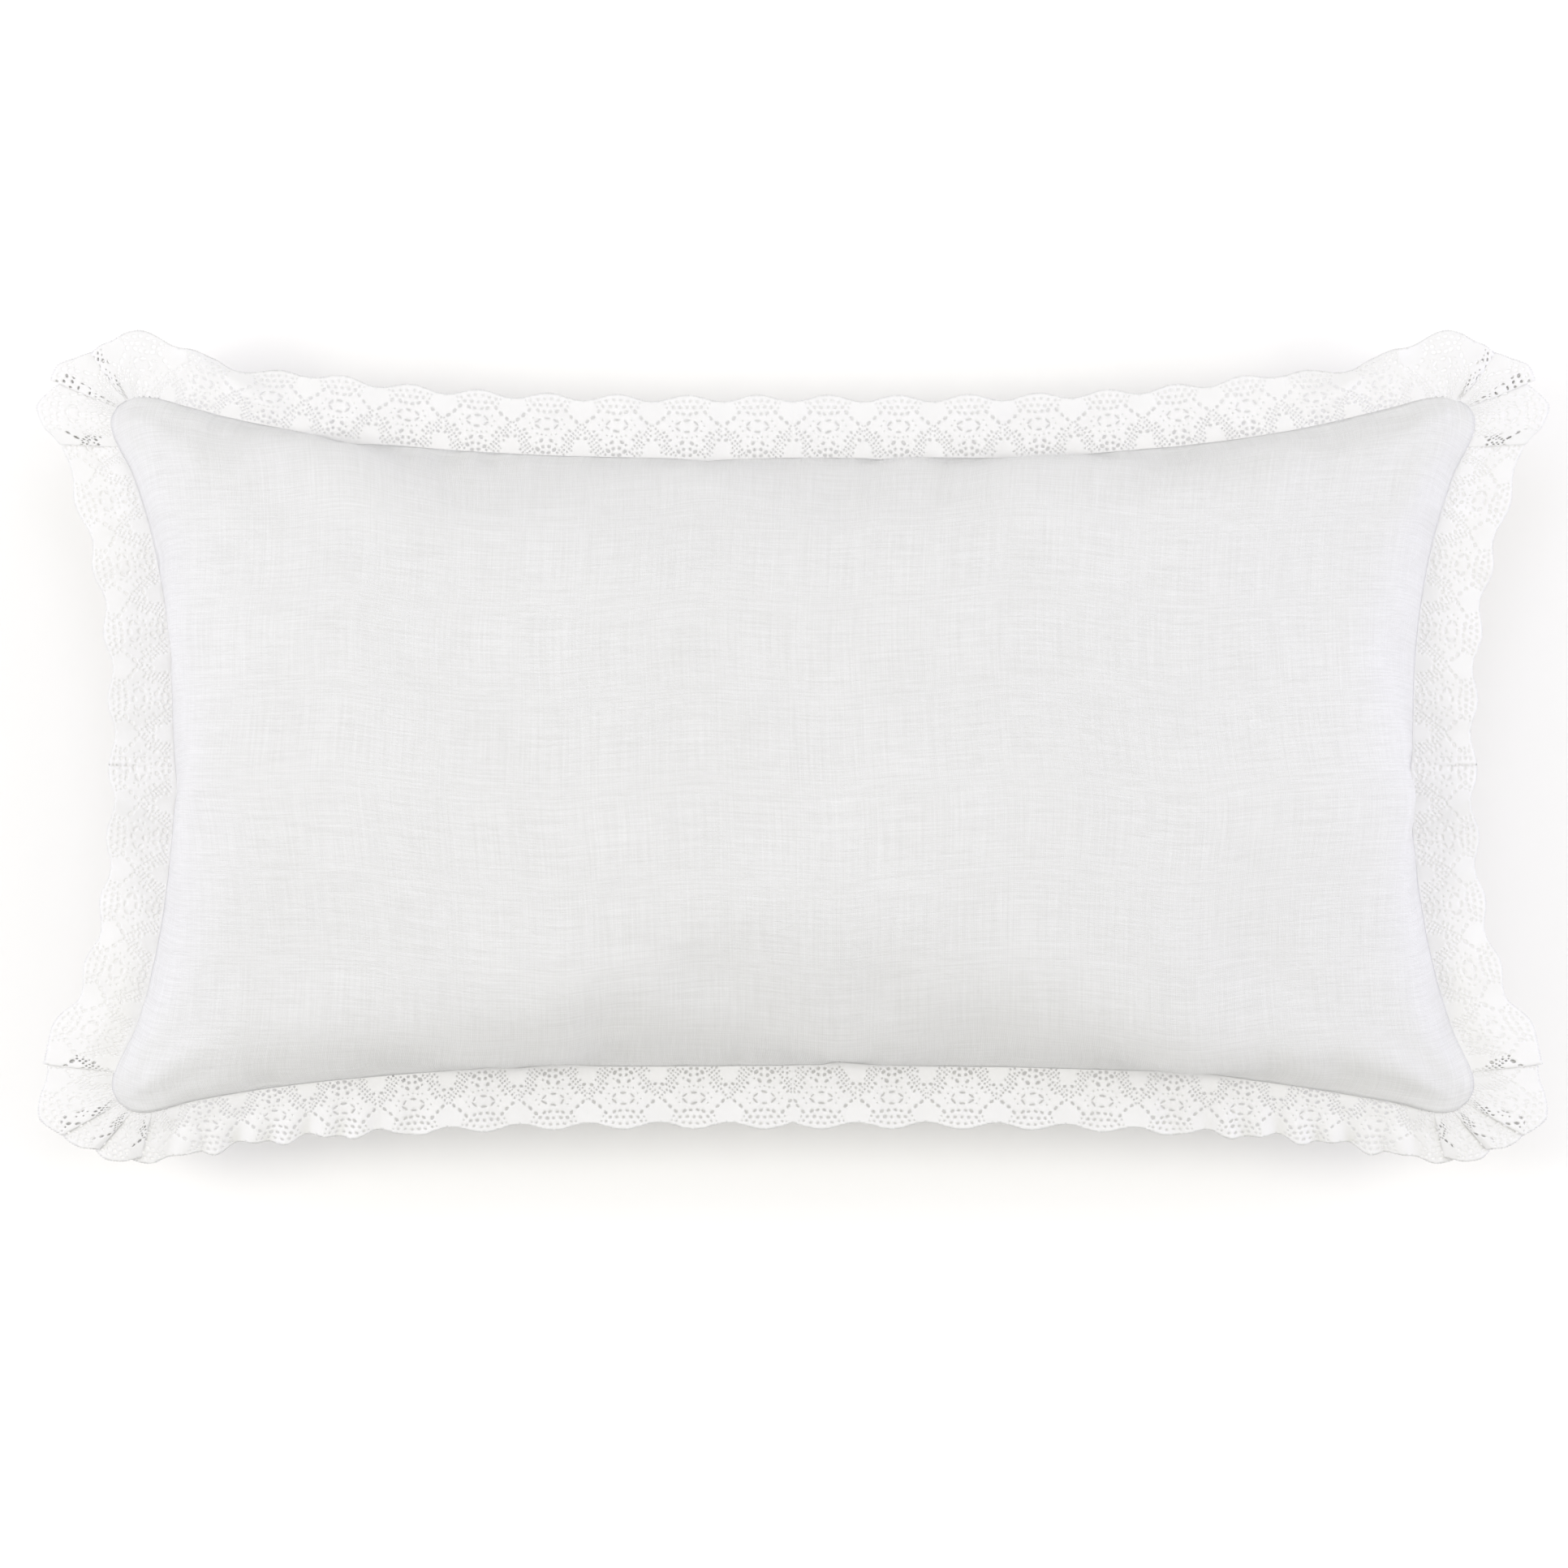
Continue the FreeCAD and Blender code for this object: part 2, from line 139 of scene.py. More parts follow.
# ---- shader helpers ------------------------------------------------------------------------
class Shader:
    """A material built node by node on its Principled shader."""

    def __init__(self, name):
        self.material = bpy.data.materials.new(name)
        self.material.use_nodes = True
        self.tree = self.material.node_tree
        self.bsdf = self.tree.nodes["Principled BSDF"]

    def put(self, socket, value):
        """Links or sets one input."""
        if isinstance(value, bpy.types.NodeSocket):
            self.tree.links.new(value, socket)
        else:
            socket.default_value = value

    def math(self, operation, a, b=None, c=None, clamp=False):
        n = self.tree.nodes.new("ShaderNodeMath")
        n.operation = operation
        n.use_clamp = clamp
        for socket, value in zip(n.inputs, (a, b, c)):
            if value is not None:
                self.put(socket, value)
        return n.outputs[0]

    def times(self, a, b):
        return self.math("MULTIPLY", a, b)

    def plus(self, a, b):
        return self.math("ADD", a, b)

    def blend(self, a, gain, add, clamp=False):
        """a times gain plus add."""
        return self.math("MULTIPLY_ADD", a, gain, add, clamp)

    def ripple(self, along, pitch):
        """A sine wave that repeats every pitch."""
        return self.math("SINE", self.times(along, 2 * math.pi / pitch))

    def mix(self, factor, a, b):
        n = self.tree.nodes.new("ShaderNodeMix")
        n.data_type = "RGBA"
        self.put(n.inputs[0], factor)
        self.put(n.inputs[6], a)
        self.put(n.inputs[7], b)
        return n.outputs[2]

    def uv_mm(self):
        """The cloth's own coordinates, in millimetres along the cut piece."""
        uv = self.tree.nodes.new("ShaderNodeUVMap")
        uv.uv_map = "cloth"
        split = self.tree.nodes.new("ShaderNodeSeparateXYZ")
        self.put(split.inputs[0], uv.outputs[0])
        return split.outputs[0], split.outputs[1]

    def vector(self, x, y, z=0.0):
        n = self.tree.nodes.new("ShaderNodeCombineXYZ")
        for socket, value in zip(n.inputs, (x, y, z)):
            self.put(socket, value)
        return n.outputs[0]

    def noise(self, vector, scale=1.0, detail=2.0, roughness=0.5):
        n = self.tree.nodes.new("ShaderNodeTexNoise")
        self.put(n.inputs["Vector"], vector)
        self.put(n.inputs["Scale"], scale)
        self.put(n.inputs["Detail"], detail)
        self.put(n.inputs["Roughness"], roughness)
        return n.outputs[0]

    def bump(self, height, strength, distance):
        n = self.tree.nodes.new("ShaderNodeBump")
        self.put(n.inputs["Height"], height)
        self.put(n.inputs["Strength"], strength)
        self.put(n.inputs["Distance"], distance)
        return n.outputs[0]

    def finish(self, color, roughness, normal=None, sheen=0.0, **rest):
        """Fills in the Principled shader; rest holds its other inputs by name."""
        self.put(self.bsdf.inputs["Base Color"], color)
        self.put(self.bsdf.inputs["Roughness"], roughness)
        if normal is not None:
            self.put(self.bsdf.inputs["Normal"], normal)
        self.put(self.bsdf.inputs["Sheen Weight"], sheen)
        self.put(self.bsdf.inputs["Sheen Roughness"], 0.4)
        for key, value in rest.items():
            self.put(self.bsdf.inputs[key], value)
        return self.material


def plain_weave(s, x, y, pitch):
    """Height of an over-and-under weave with threads pitch millimetres apart."""
    across = s.math("DIVIDE", x, pitch)
    along = s.math("DIVIDE", y, pitch)
    over = s.math("FLOORED_MODULO", s.plus(s.math("FLOOR", across), s.math("FLOOR", along)), 2.0)

    def thread(t, u):
        side = s.math("SINE", s.times(s.math("FRACT", t), math.pi))
        rise = s.math("SINE", s.times(s.math("FRACT", u), math.pi))
        return s.times(side, s.blend(rise, 0.5, 0.5))

    n = s.tree.nodes.new("ShaderNodeMix")
    for socket, value in zip((0, 2, 3), (over, thread(across, along), thread(along, across))):
        s.put(n.inputs[socket], value)
    return n.outputs[0]


WEAVE = 0.62  # pitch of the cover's threads, mm


def slub_cloth():
    """Slubbed plain weave: uneven yarns show as fine lighter and darker streaks both ways."""
    pale, warm = (0.81, 0.81, 0.803, 1), (0.715, 0.713, 0.70, 1)
    s = Shader("cover_slub")
    x, y = s.uv_mm()
    weave = plain_weave(s, x, y, WEAVE)
    streak_x = s.noise(s.vector(s.times(x, 0.030), s.times(y, 1.15)), 1.0, 3.0, 0.72)
    streak_y = s.noise(s.vector(s.times(x, 1.15), s.times(y, 0.024), 9.0), 1.0, 3.0, 0.72)
    knots = s.noise(s.vector(s.times(x, 0.12), s.times(y, 2.2), 5.0), 1.0, 2.0, 0.7)
    cloud = s.noise(s.vector(s.times(x, 0.012), s.times(y, 0.012), 2.0), 1.0, 3.0)
    yarn = s.plus(streak_x, s.times(streak_y, 0.8))
    color = s.mix(s.blend(yarn, 2.3, -1.57, clamp=True), pale, warm)
    aged = [c * 0.97 for c in warm[:3]] + [1]
    color = s.mix(s.blend(cloud, 0.5, -0.15, clamp=True), color, aged)
    thick = s.blend(s.math("SUBTRACT", knots, 0.5), 2.2, s.times(yarn, 1.4))
    height = s.blend(weave, 0.75, s.times(thick, 0.5))
    return s.finish(color, 0.9, s.bump(height, 0.55, 0.00035), 0.25)


def lace_cotton():
    """Cotton worked in fine plaits: a tight slanting thread bump with uneven twist, and painted shade
    in the grooves between the plaits.
    """
    white, shade = (0.88, 0.877, 0.865, 1), (0.82, 0.815, 0.80, 1)
    s = Shader("lace_cotton")
    x, y = s.uv_mm()
    one = s.ripple(s.plus(x, y), WEAVE)
    two = s.ripple(s.math("SUBTRACT", x, y), WEAVE)
    weave = s.math("MAXIMUM", one, two)
    fuzz = s.noise(s.vector(x, y), 2.6, 3.0, 0.7)
    cloud = s.noise(s.vector(x, y, 3.0), 0.09, 2.0)
    color = s.mix(s.blend(cloud, 0.9, -0.25, clamp=True), white, shade)
    # painted shade: the colour darkens toward a shaded tone in the grooves between the plaits, where
    # the weave runs low
    between = [c * 0.8 for c in shade[:3]] + [1]
    color = s.mix(s.blend(weave, -0.12, 0.12, clamp=True), color, between)
    height = s.blend(fuzz, 0.9, s.times(weave, 0.4))
    return s.finish(color, 0.88, s.bump(height, 0.5, 0.00025), 0.3)


def twill_tape():
    s = Shader("zip_twill")
    x, y = s.uv_mm()
    slant = s.ripple(s.plus(x, s.times(y, 1.2)), 0.9)
    ribs = s.ripple(y, 0.45)
    cloud = s.noise(s.vector(x, y), 0.8, 3.0)
    tone = s.blend(slant, 0.25, s.times(cloud, 0.5), clamp=True)
    color = s.mix(tone, (0.80, 0.79, 0.76, 1), (0.70, 0.69, 0.65, 1))
    return s.finish(color, 0.85, s.bump(s.blend(ribs, 0.4, slant), 0.5, 0.0001), 0.2)


def coil_nylon():
    s = Shader("zip_nylon")
    x, y = s.uv_mm()
    streak = s.noise(s.vector(x, s.times(y, 2.0)), 0.9, 2.0)
    color = s.mix(streak, (0.84, 0.83, 0.80, 1), (0.76, 0.75, 0.70, 1))
    return s.finish(color, 0.38, s.bump(streak, 0.3, 0.00005), 0.0, **{"Coat Weight": 0.15})


def hard_finish(name, base, dark, metallic, rough, scale):
    """A hard finish patterned in the object's own space, with worn edges and fine scratches."""
    s = Shader(name)
    place = s.tree.nodes.new("ShaderNodeTexCoord").outputs["Object"]
    grain = s.noise(place, scale, 4.0, 0.6)
    patch = s.noise(place, scale * 0.16, 2.0)
    geometry = s.tree.nodes.new("ShaderNodeNewGeometry")
    worn = s.blend(geometry.outputs["Pointiness"], 14.0, -7.3, clamp=True)
    color = s.mix(s.blend(patch, 0.7, s.times(grain, 0.3), clamp=True), base, dark)
    color = s.mix(s.times(worn, 0.5), color, (0.62, 0.60, 0.56, 1))
    rough = s.blend(grain, 0.25, rough)
    return s.finish(color, rough, s.bump(grain, 0.15, 0.00004), 0.0, Metallic=metallic)


def twisted_thread():
    s = Shader("sewing_thread")
    x, y = s.uv_mm()
    twist = s.math("SINE", s.times(s.plus(s.times(x, 6.0), s.times(y, 1.05)), 2.0))
    tone = s.blend(twist, 0.3, 0.4, clamp=True)
    color = s.mix(tone, (0.84, 0.83, 0.81, 1), (0.74, 0.73, 0.70, 1))
    return s.finish(color, 0.7, s.bump(twist, 0.5, 0.00006), 0.2)


def label_satin():
    s = Shader("label_satin")
    x, y = s.uv_mm()
    height = s.blend(s.ripple(y, 0.5), 0.3, s.ripple(x, 0.22))
    cloud = s.noise(s.vector(x, y), 0.25, 2.0)
    color = s.mix(cloud, (0.88, 0.88, 0.87, 1), (0.80, 0.80, 0.79, 1))
    return s.finish(color, 0.42, s.bump(height, 0.25, 0.00004), 0.1, Anisotropic=0.5)


def insert_cotton():
    s = Shader("insert_cloth")
    x, y = s.uv_mm()
    weave = plain_weave(s, x, y, 0.4)
    fluff = s.noise(s.vector(x, y), 0.35, 4.0, 0.6)
    color = s.mix(fluff, (0.86, 0.86, 0.85, 1), (0.78, 0.78, 0.76, 1))
    return s.finish(color, 0.9, s.bump(s.blend(fluff, 0.6, weave), 0.4, 0.0002), 0.2)


def loose_fibre():
    s = Shader("fibre_fill")
    x, y = s.uv_mm()
    curl = s.noise(s.vector(x, y), 0.06, 3.0)
    hair = s.noise(s.vector(s.blend(curl, 30.0, x), s.times(y, 0.25)), 2.2, 5.0, 0.75)
    clump = s.noise(s.vector(x, y, 4.0), 0.08, 3.0, 0.6)
    color = s.mix(hair, (0.90, 0.90, 0.90, 1), (0.74, 0.74, 0.73, 1))
    return s.finish(color, 0.95, s.bump(s.blend(clump, 4.0, hair), 0.8, 0.0012), 0.5)


cover_cloth = slub_cloth()
lace_cloth = lace_cotton()
twill = twill_tape()
nylon = coil_nylon()
enamel = hard_finish("slider_enamel", (0.82, 0.81, 0.78, 1), (0.70, 0.69, 0.65, 1), 0.0, 0.25, 900.0)
zip_metal = hard_finish("zipper_metal", (0.66, 0.65, 0.62, 1), (0.50, 0.49, 0.46, 1), 1.0, 0.28, 1200.0)
sewing_thread = twisted_thread()
satin = label_satin()
casing_cloth = insert_cotton()
fibre = loose_fibre()


# ---- the seam outline ----------------------------------------------------------------------
# The edge seam in plan, in millimetres. Each edge bows in between its corners; the corners are
# drawn up round by the gathered lace.
def top_edge(x):
    return 137.6 + 39.0 * (abs(x) / 331.0) ** 3.2


def bottom_edge(x):
    return -150.3 - 27.7 * (abs(x) / 331.0) ** 3.3


def side_edge(y):
    return 294.0 + 43.0 * (max(0.0, y - 5.0, -10.0 - y) / 175.0) ** 2.35


def bend(start, start_way, end, end_way, count=14):
    """Points on a curve from start to end that leaves and arrives along the given directions."""
    p0, p1 = np.array(start), np.array(end)
    reach = np.linalg.norm(p1 - p0) * 1.15
    m0 = unit(np.array(start_way)) * reach
    m1 = unit(np.array(end_way)) * reach
    t = np.linspace(0, 1, count)[:, None]
    leaving = (2 * t**3 - 3 * t**2 + 1) * p0 + (t**3 - 2 * t**2 + t) * m0
    return leaving + (3 * t**2 - 2 * t**3) * p1 + (t**3 - t**2) * m1


TOP_TIP = (-320.2, 162.6)  # middle of each rounded corner, left half
LOW_TIP = (-319.4, -168.2)


def left_outline():
    """The left half of the seam, in three runs from the middle of the top to that of the bottom."""
    top = [(x, top_edge(x)) for x in np.linspace(0, -290, 60)]
    top += bend(top[-1], (-1, 0.33), TOP_TIP, (-1, -1))[1:].tolist()
    side = bend(TOP_TIP, (-1, -1), (-side_edge(132), 132), (0.47, -1))[:-1].tolist()
    side += [(-side_edge(y), y) for y in np.linspace(132, -134, 60)]
    side += bend(side[-1], (-0.42, -1), LOW_TIP, (1, -1))[1:].tolist()
    low = bend(LOW_TIP, (1, -1), (-286, bottom_edge(286)), (1, 0.23))[:-1].tolist()
    low += [(x, bottom_edge(x)) for x in np.linspace(-286, 0, 60)]
    return np.array(top), np.array(side), np.array(low)


top_half, left_side, low_half = left_outline()
mirror = np.array([-1.0, 1.0])
TOP_LINE = np.concatenate([top_half[::-1], (top_half * mirror)[1:]])
LOW_LINE = np.concatenate([low_half, (low_half[::-1] * mirror)[1:]])


# ---- the cover, blown up from its two flat pieces --------------------------------------------
def inflate(cell, frames):
    """Two flat rectangles sewn round the edge and filled: the face and the back on the cut's grid."""
    width, height = CUT
    nx, ny = round(width / cell), round(height / cell)
    xs = np.linspace(-width / 2, width / 2, nx + 1)
    ys = np.linspace(-height / 2, height / 2, ny + 1)
    points, index = [], {}

    def point(i, j, side):
        rim = i in (0, nx) or j in (0, ny)
        key = (i, j, 0 if rim else side)
        if key not in index:
            u, v = 2 * xs[i] / width, 2 * ys[j] / height
            index[key] = len(points)
            lift = 0.0 if rim else side * 0.02 * (1 - u**4) * (1 - v**4)
            points.append((xs[i], ys[j], lift))
        return index[key]

    faces = []
    for side in (1, -1):
        for i in range(nx):
            for j in range(ny):
                quad = [point(i + a, j + b, side) for a, b in ((0, 0), (1, 0), (1, 1), (0, 1))]
                faces.append(quad if side > 0 else quad[::-1])
    mesh = bpy.data.meshes.new("cover_sim")
    mesh.from_pydata(points, [], faces)
    obj = bpy.data.objects.new("cover_sim", mesh)
    scene.collection.objects.link(obj)
    cloth = obj.modifiers.new("cloth", "CLOTH")
    settings = cloth.settings
    settings.quality = 10
    settings.mass = 0.05
    settings.tension_stiffness = settings.compression_stiffness = 40
    settings.shear_stiffness = 12
    settings.bending_stiffness = 0.5
    settings.tension_damping = settings.compression_damping = settings.shear_damping = 10
    settings.bending_damping = 0.5
    settings.air_damping = 5
    settings.use_pressure = True
    settings.uniform_pressure_force = 4
    settings.effector_weights.gravity = 0
    cloth.collision_settings.use_collision = False
    cloth.point_cache.frame_start, cloth.point_cache.frame_end = 1, frames
    scene.frame_start, scene.frame_end = 1, frames
    for step in range(1, frames + 1):
        scene.frame_set(step)
    moved = obj.evaluated_get(bpy.context.evaluated_depsgraph_get()).to_mesh()
    blown = np.array([v.co for v in moved.vertices])
    bpy.data.objects.remove(obj)
    bpy.data.meshes.remove(mesh)
    scene.frame_set(1)
    rows, columns = range(nx + 1), range(ny + 1)
    return [np.array([[blown[point(i, j, side)] for j in columns] for i in rows]) for side in (1, -1)]


def soften(line, rounds):
    """The polyline with its short wrinkles smoothed out and its ends kept."""
    line = line.copy()
    for _ in range(rounds):
        line[1:-1] = 0.25 * line[:-2] + 0.5 * line[1:-1] + 0.25 * line[2:]
    return line


def edge_targets(nx, ny):
    """Where the seam has to lie on the plan, for the four edges of the grid, in metres."""
    flat = {
        "low": spaced(LOW_LINE, nx + 1),
        "top": spaced(TOP_LINE, nx + 1),
        "left": spaced(left_side[::-1], ny + 1),
        "right": spaced(left_side[::-1] * mirror, ny + 1),
    }
    return {k: np.column_stack([p * MM, np.zeros(len(p))]) for k, p in flat.items()}


def shaped(layer, rough_seam):
    """The blown-up layer carried onto the seam outline, keeping some of its own wrinkles."""
    nx, ny = layer.shape[0] - 1, layer.shape[1] - 1
    want = edge_targets(nx, ny)
    have = {"low": layer[:, 0], "top": layer[:, -1], "left": layer[0], "right": layer[-1]}
    move = {}
    for key, line in have.items():
        smooth = soften(line, 60)
        kept = smooth + (1 - rough_seam) * (line - smooth)
        move[key] = want[key] - kept
    a = np.linspace(0, 1, nx + 1)[:, None, None]
    b = np.linspace(0, 1, ny + 1)[None, :, None]
    edges = (1 - b) * move["low"][:, None] + b * move["top"][:, None]
    edges = edges + (1 - a) * move["left"][None] + a * move["right"][None]
    corners = (1 - a) * (1 - b) * move["low"][0] + a * (1 - b) * move["low"][-1]
    corners = corners + (1 - a) * b * move["top"][0] + a * b * move["top"][-1]
    return layer + edges - corners


def eased(grid, rounds):
    """The grid with its small lumps smoothed and its edge kept."""
    grid = grid.copy()
    for _ in range(rounds):
        around = grid[:-2, 1:-1] + grid[2:, 1:-1] + grid[1:-1, :-2] + grid[1:-1, 2:]
        grid[1:-1, 1:-1] = 0.5 * grid[1:-1, 1:-1] + 0.125 * around
    return grid


ROUGH_SEAM = 0.25  # share of the seam's own wrinkles that is kept
SEAM_GAP = 0.0005  # from the middle of the seam to each cloth
FLOOR_GAP = 0.0005
FLAT_DEPTH = 0.0012  # how far the fill's weight presses the back down
FLAT_EASE = 0.003  # how gently the flat of the back begins


def cover_layers():
    """The face and the back as grids of points, the back pressed flat where it rests."""
    cell, frames, rounds = ((0.007, 38, 8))
    layers = []
    for side, layer in zip((1, -1), inflate(cell, frames)):
        grid = eased(shaped(layer, ROUGH_SEAM), rounds)
        grid[:, :, 2] *= CROWN / np.abs(grid[:, :, 2]).max()
        grid[:, :, 2] += SEAM_Z + side * SEAM_GAP
        layers.append(grid)
    face, back = layers
    sink = back[:, :, 2] - FLAT_DEPTH
    back[:, :, 2] = 0.5 * (sink + np.sqrt(sink**2 + FLAT_EASE**2)) + FLOOR_GAP
    return face, back


FACE, BACK = cover_layers()


def sampled(grid, u, v):
    """The grid's smooth surface at u, v, each from 0 to 1."""
    padded = np.pad(grid, ((1, 1), (1, 1), (0, 0)), mode="reflect", reflect_type="odd")
    nx, ny = grid.shape[0] - 1, grid.shape[1] - 1
    u, v = np.broadcast_arrays(np.asarray(u, float) * nx, np.asarray(v, float) * ny)
    i = np.clip(np.floor(u).astype(int), 0, nx - 1)
    j = np.clip(np.floor(v).astype(int), 0, ny - 1)

    def weights(t):
        return [
            0.5 * (-t + 2 * t**2 - t**3),
            0.5 * (2 - 5 * t**2 + 3 * t**3),
            0.5 * (t + 4 * t**2 - 3 * t**3),
            0.5 * (t**3 - t**2),
        ]

    wu, wv = weights(u - i), weights(v - j)
    total = 0
    for a in range(4):
        for b in range(4):
            total = total + (wu[a] * wv[b])[..., None] * padded[i + a, j + b]
    return total


def normals(points):
    """Unit normals of a grid of points, along +z where the grid runs +x then +y."""
    return unit(np.cross(np.gradient(points, axis=0), np.gradient(points, axis=1)), 1e-12)


# The puckers along the seams: wavelength and height in mm, with a phase for each layer and edge.
WAVES = [(13.0, 0.22), (18.5, 0.3), (27.0, 0.34), (43.0, 0.3)]
PHASES = rng.uniform(0, 2 * np.pi, (2, 4, len(WAVES)))
# The lumps of the fill: wavelength in mm, direction and phase.
LUMPS = [(rng.uniform(55, 130), rng.uniform(0, np.pi), rng.uniform(0, 2 * np.pi)) for _ in range(9)]
LUMP_HEIGHT = 0.16
CORNER_CREASE = 0.75
CREASE_LIMIT = 2.0


def seam_creases():
    """Soft creases where the stitching draws the face in: edge, place, slant, reach, depth, width."""
    dice = np.random.default_rng(21)
    made = []
    for edge, count, deep in ((0, 30, 2.2), (1, 18, 1.6), (2, 9, 1.4), (3, 9, 1.4)):
        span = CUT[0 if edge < 2 else 1] / MM
        for _ in range(count):
            place = dice.beta(0.75, 0.75)
            slant = dice.uniform(-0.25, 0.25) + 0.6 * (0.5 - place)
            reach = dice.uniform(24, 58)
            depth = deep * dice.uniform(0.4, 1.4)
            width = dice.uniform(3.4, 7.5)
            made.append((edge, span * (0.05 + 0.9 * place), slant, reach, depth, width))
    return made


CREASES = seam_creases()


def relief(side, u, v):
    """Height in metres of the puckers and creases along the seams and the lumps of the fill."""
    u, v = np.broadcast_arrays(u, v)
    length, height = CUT[0] / MM, CUT[1] / MM
    x, y = u * length, v * height
    edges = [(height - y, x, 2.0), (y, x, 0.9), (x, y, 1.1), (length - x, y, 1.1)]
    total = np.zeros_like(x)
    for k, (d, t, size) in enumerate(edges):
        for (wave, part), phase in zip(WAVES, PHASES[0 if side > 0 else 1, k]):
            swell = 0.6 + 0.4 * np.sin(t / (2.7 * wave) + 2.1 * phase)
            fade = (1 - np.exp(-d / 4)) * np.exp(-d / (0.9 * wave))
            total += size * part * swell * np.sin(2 * np.pi * t / wave + phase) * fade
    drawn = np.zeros_like(x)
    for edge, place, slant, reach, depth, width in CREASES if side > 0 else ():
        d, t = edges[edge][:2]
        across = (t - place - slant * d) / (width * (1 + d / 22))
        fade = (1 - np.exp(-d / 2.5)) * np.exp(-((d / reach) ** 2))
        drawn += depth * np.exp(-(across**2)) * fade
    # a corner is too thin to crease deeply
    end_x, end_y = np.minimum(x, length - x), np.minimum(y, height - y)
    corner = np.hypot(end_x, end_y)
    total -= CREASE_LIMIT * np.tanh(drawn / CREASE_LIMIT) * smoothstep(corner, 25, 75)
    for cx in (0, length):
        for cy in (0, height):
            r = np.hypot(x - cx, y - cy)
            around = np.arctan2(np.abs(y - cy), np.abs(x - cx) + 1e-9)
            crease = np.sin(11 * around + 0.05 * cx + 0.3 * cy) * np.exp(-(((r - 52) / 34) ** 2))
            total += CORNER_CREASE * crease
    inside = np.clip(np.minimum(end_x, end_y) / 60, 0, 1)
    for wave, way, phase in LUMPS:
        along = x * math.cos(way) + y * math.sin(way)
        total += LUMP_HEIGHT * inside * np.sin(2 * np.pi * along / wave + phase)
    return total * MM


# ---- the underside where the zipper is let in --------------------------------------------------
ZIP_Y = -0.124
ZIP_SLOPE = math.radians(41.3)  # of the cloth across the zipper
ARC_RADIUS = 3.55323  # the chain follows one arc along the pillow
ARC_TOP = 3.5731768
ACROSS = np.array([0.0, math.cos(ZIP_SLOPE), -math.sin(ZIP_SLOPE)])
INWARD = np.array([0.0, math.sin(ZIP_SLOPE), math.cos(ZIP_SLOPE)])
SLOT_HALF = 0.00475
SLOT_END = 0.180
CLOSED_HALF = 0.00002  # half the gap where the two hems meet
CHAIN_NEAR = 0.0042  # nearer than this the slot has no cloth to measure
# How far from the chain line, and from the middle, the back lets go of the designed underside.
EASE_ABOVE = (0.016, 0.050)
EASE_BELOW = (0.010, 0.022)
EASE_ENDS = (0.190, 0.255)
UP = Vector((0, 0, 1))


def sloped(x, y):
    """Height of the chain's own sloping plane at x, y."""
    return chain_line(x)[2] - (y - ZIP_Y) * math.tan(ZIP_SLOPE)


def height_above(tree, x, y, missing):
    """Height of the first face above the floor at x, y."""
    hit = tree.ray_cast(Vector((x, y, -0.1)), UP)[0]
    return hit.z if hit else missing


def chain_line(x):
    """The middle of the slot at x, on the underside."""
    x = np.asarray(x, float)
    return np.stack([x, np.full_like(x, ZIP_Y), ARC_TOP - np.sqrt(ARC_RADIUS**2 - x**2)], axis=-1)


UNDER = surface_tree(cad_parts["back_panel_upper"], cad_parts["back_panel_lower"])


def back_surface(u, v):
    """The back's outer surface: the blown-up cloth, laid onto the designed underside by the zipper."""
    p = sampled(BACK, u, v)
    flat = p.reshape(-1, 3)
    u1, v1 = (a.reshape(-1) for a in np.broadcast_arrays(u, v))
    off = np.abs(flat[:, 1] - ZIP_Y)
    above = 1 - smoothstep(off, *EASE_ABOVE)
    below = 1 - smoothstep(off, *EASE_BELOW)
    ends = 1 - smoothstep(np.abs(flat[:, 0]), *EASE_ENDS)
    weight = np.where(flat[:, 1] > ZIP_Y, above, below) * ends
    ruffle = relief(-1, u1, v1) * (1 - weight)
    for i in np.nonzero(weight > 0)[0]:
        x, y, z = flat[i]
        under = sloped(x, y) if off[i] < CHAIN_NEAR else height_above(UNDER, x, y, z)
        flat[i, 2] += weight[i] * (under - z)
    # where the pillow rests, the ruffles may only rise
    low = 1 - np.clip(flat[:, 2] / 0.03, 0, 1)
    flat[:, 2] += np.maximum(-ruffle, -0.0002) * low - ruffle * (1 - low) * 0.7
    return p


def v_at(u, y):
    """Where the back's line at u crosses the plan line y."""
    steps = np.linspace(0, 1, 500)
    line = sampled(BACK, u[:, None], steps[None, :])[..., 1]
    return np.array([np.interp(b, row, steps) for b, row in zip(np.broadcast_to(y, u.shape), line)])


def closed(name, outer, inner, uv, up, material):
    """A closed mesh between two grids; up is 1 where the outer side faces the grid's normal."""
    rows, columns = outer.shape[:2]
    count = rows * columns
    top = grid_faces(rows, columns, flip=up < 0)
    under = grid_faces(rows, columns, flip=up > 0) + count
    ring = [i * columns for i in range(rows)]
    ring += [(rows - 1) * columns + j for j in range(1, columns)]
    ring += [i * columns + columns - 1 for i in range(rows - 2, -1, -1)]
    ring += list(range(columns - 2, 0, -1))
    sides = []
    for a, b in zip(ring, ring[1:] + ring[:1]):
        sides.append((a, b, b + count, a + count) if up < 0 else (b, a, a + count, b + count))
    faces = [tuple(f) for f in top] + [tuple(f) for f in under] + sides
    points = np.concatenate([outer.reshape(-1, 3), inner.reshape(-1, 3)])
    flat = uv.reshape(-1, 2)
    return add_mesh(name, points, faces, np.concatenate([flat, flat]), material)


def shell(name, outer, uv, thickness, up, material):
    """A closed sheet of one thickness from the grid of its outer points."""
    return closed(name, outer, outer - normals(outer) * up * thickness, uv, up, material)


def cloth_uv(u, v):
    """Where u, v lies on the flat cut, in millimetres."""
    return np.stack(np.broadcast_arrays(u * CUT[0] / MM, v * CUT[1] / MM), axis=-1)


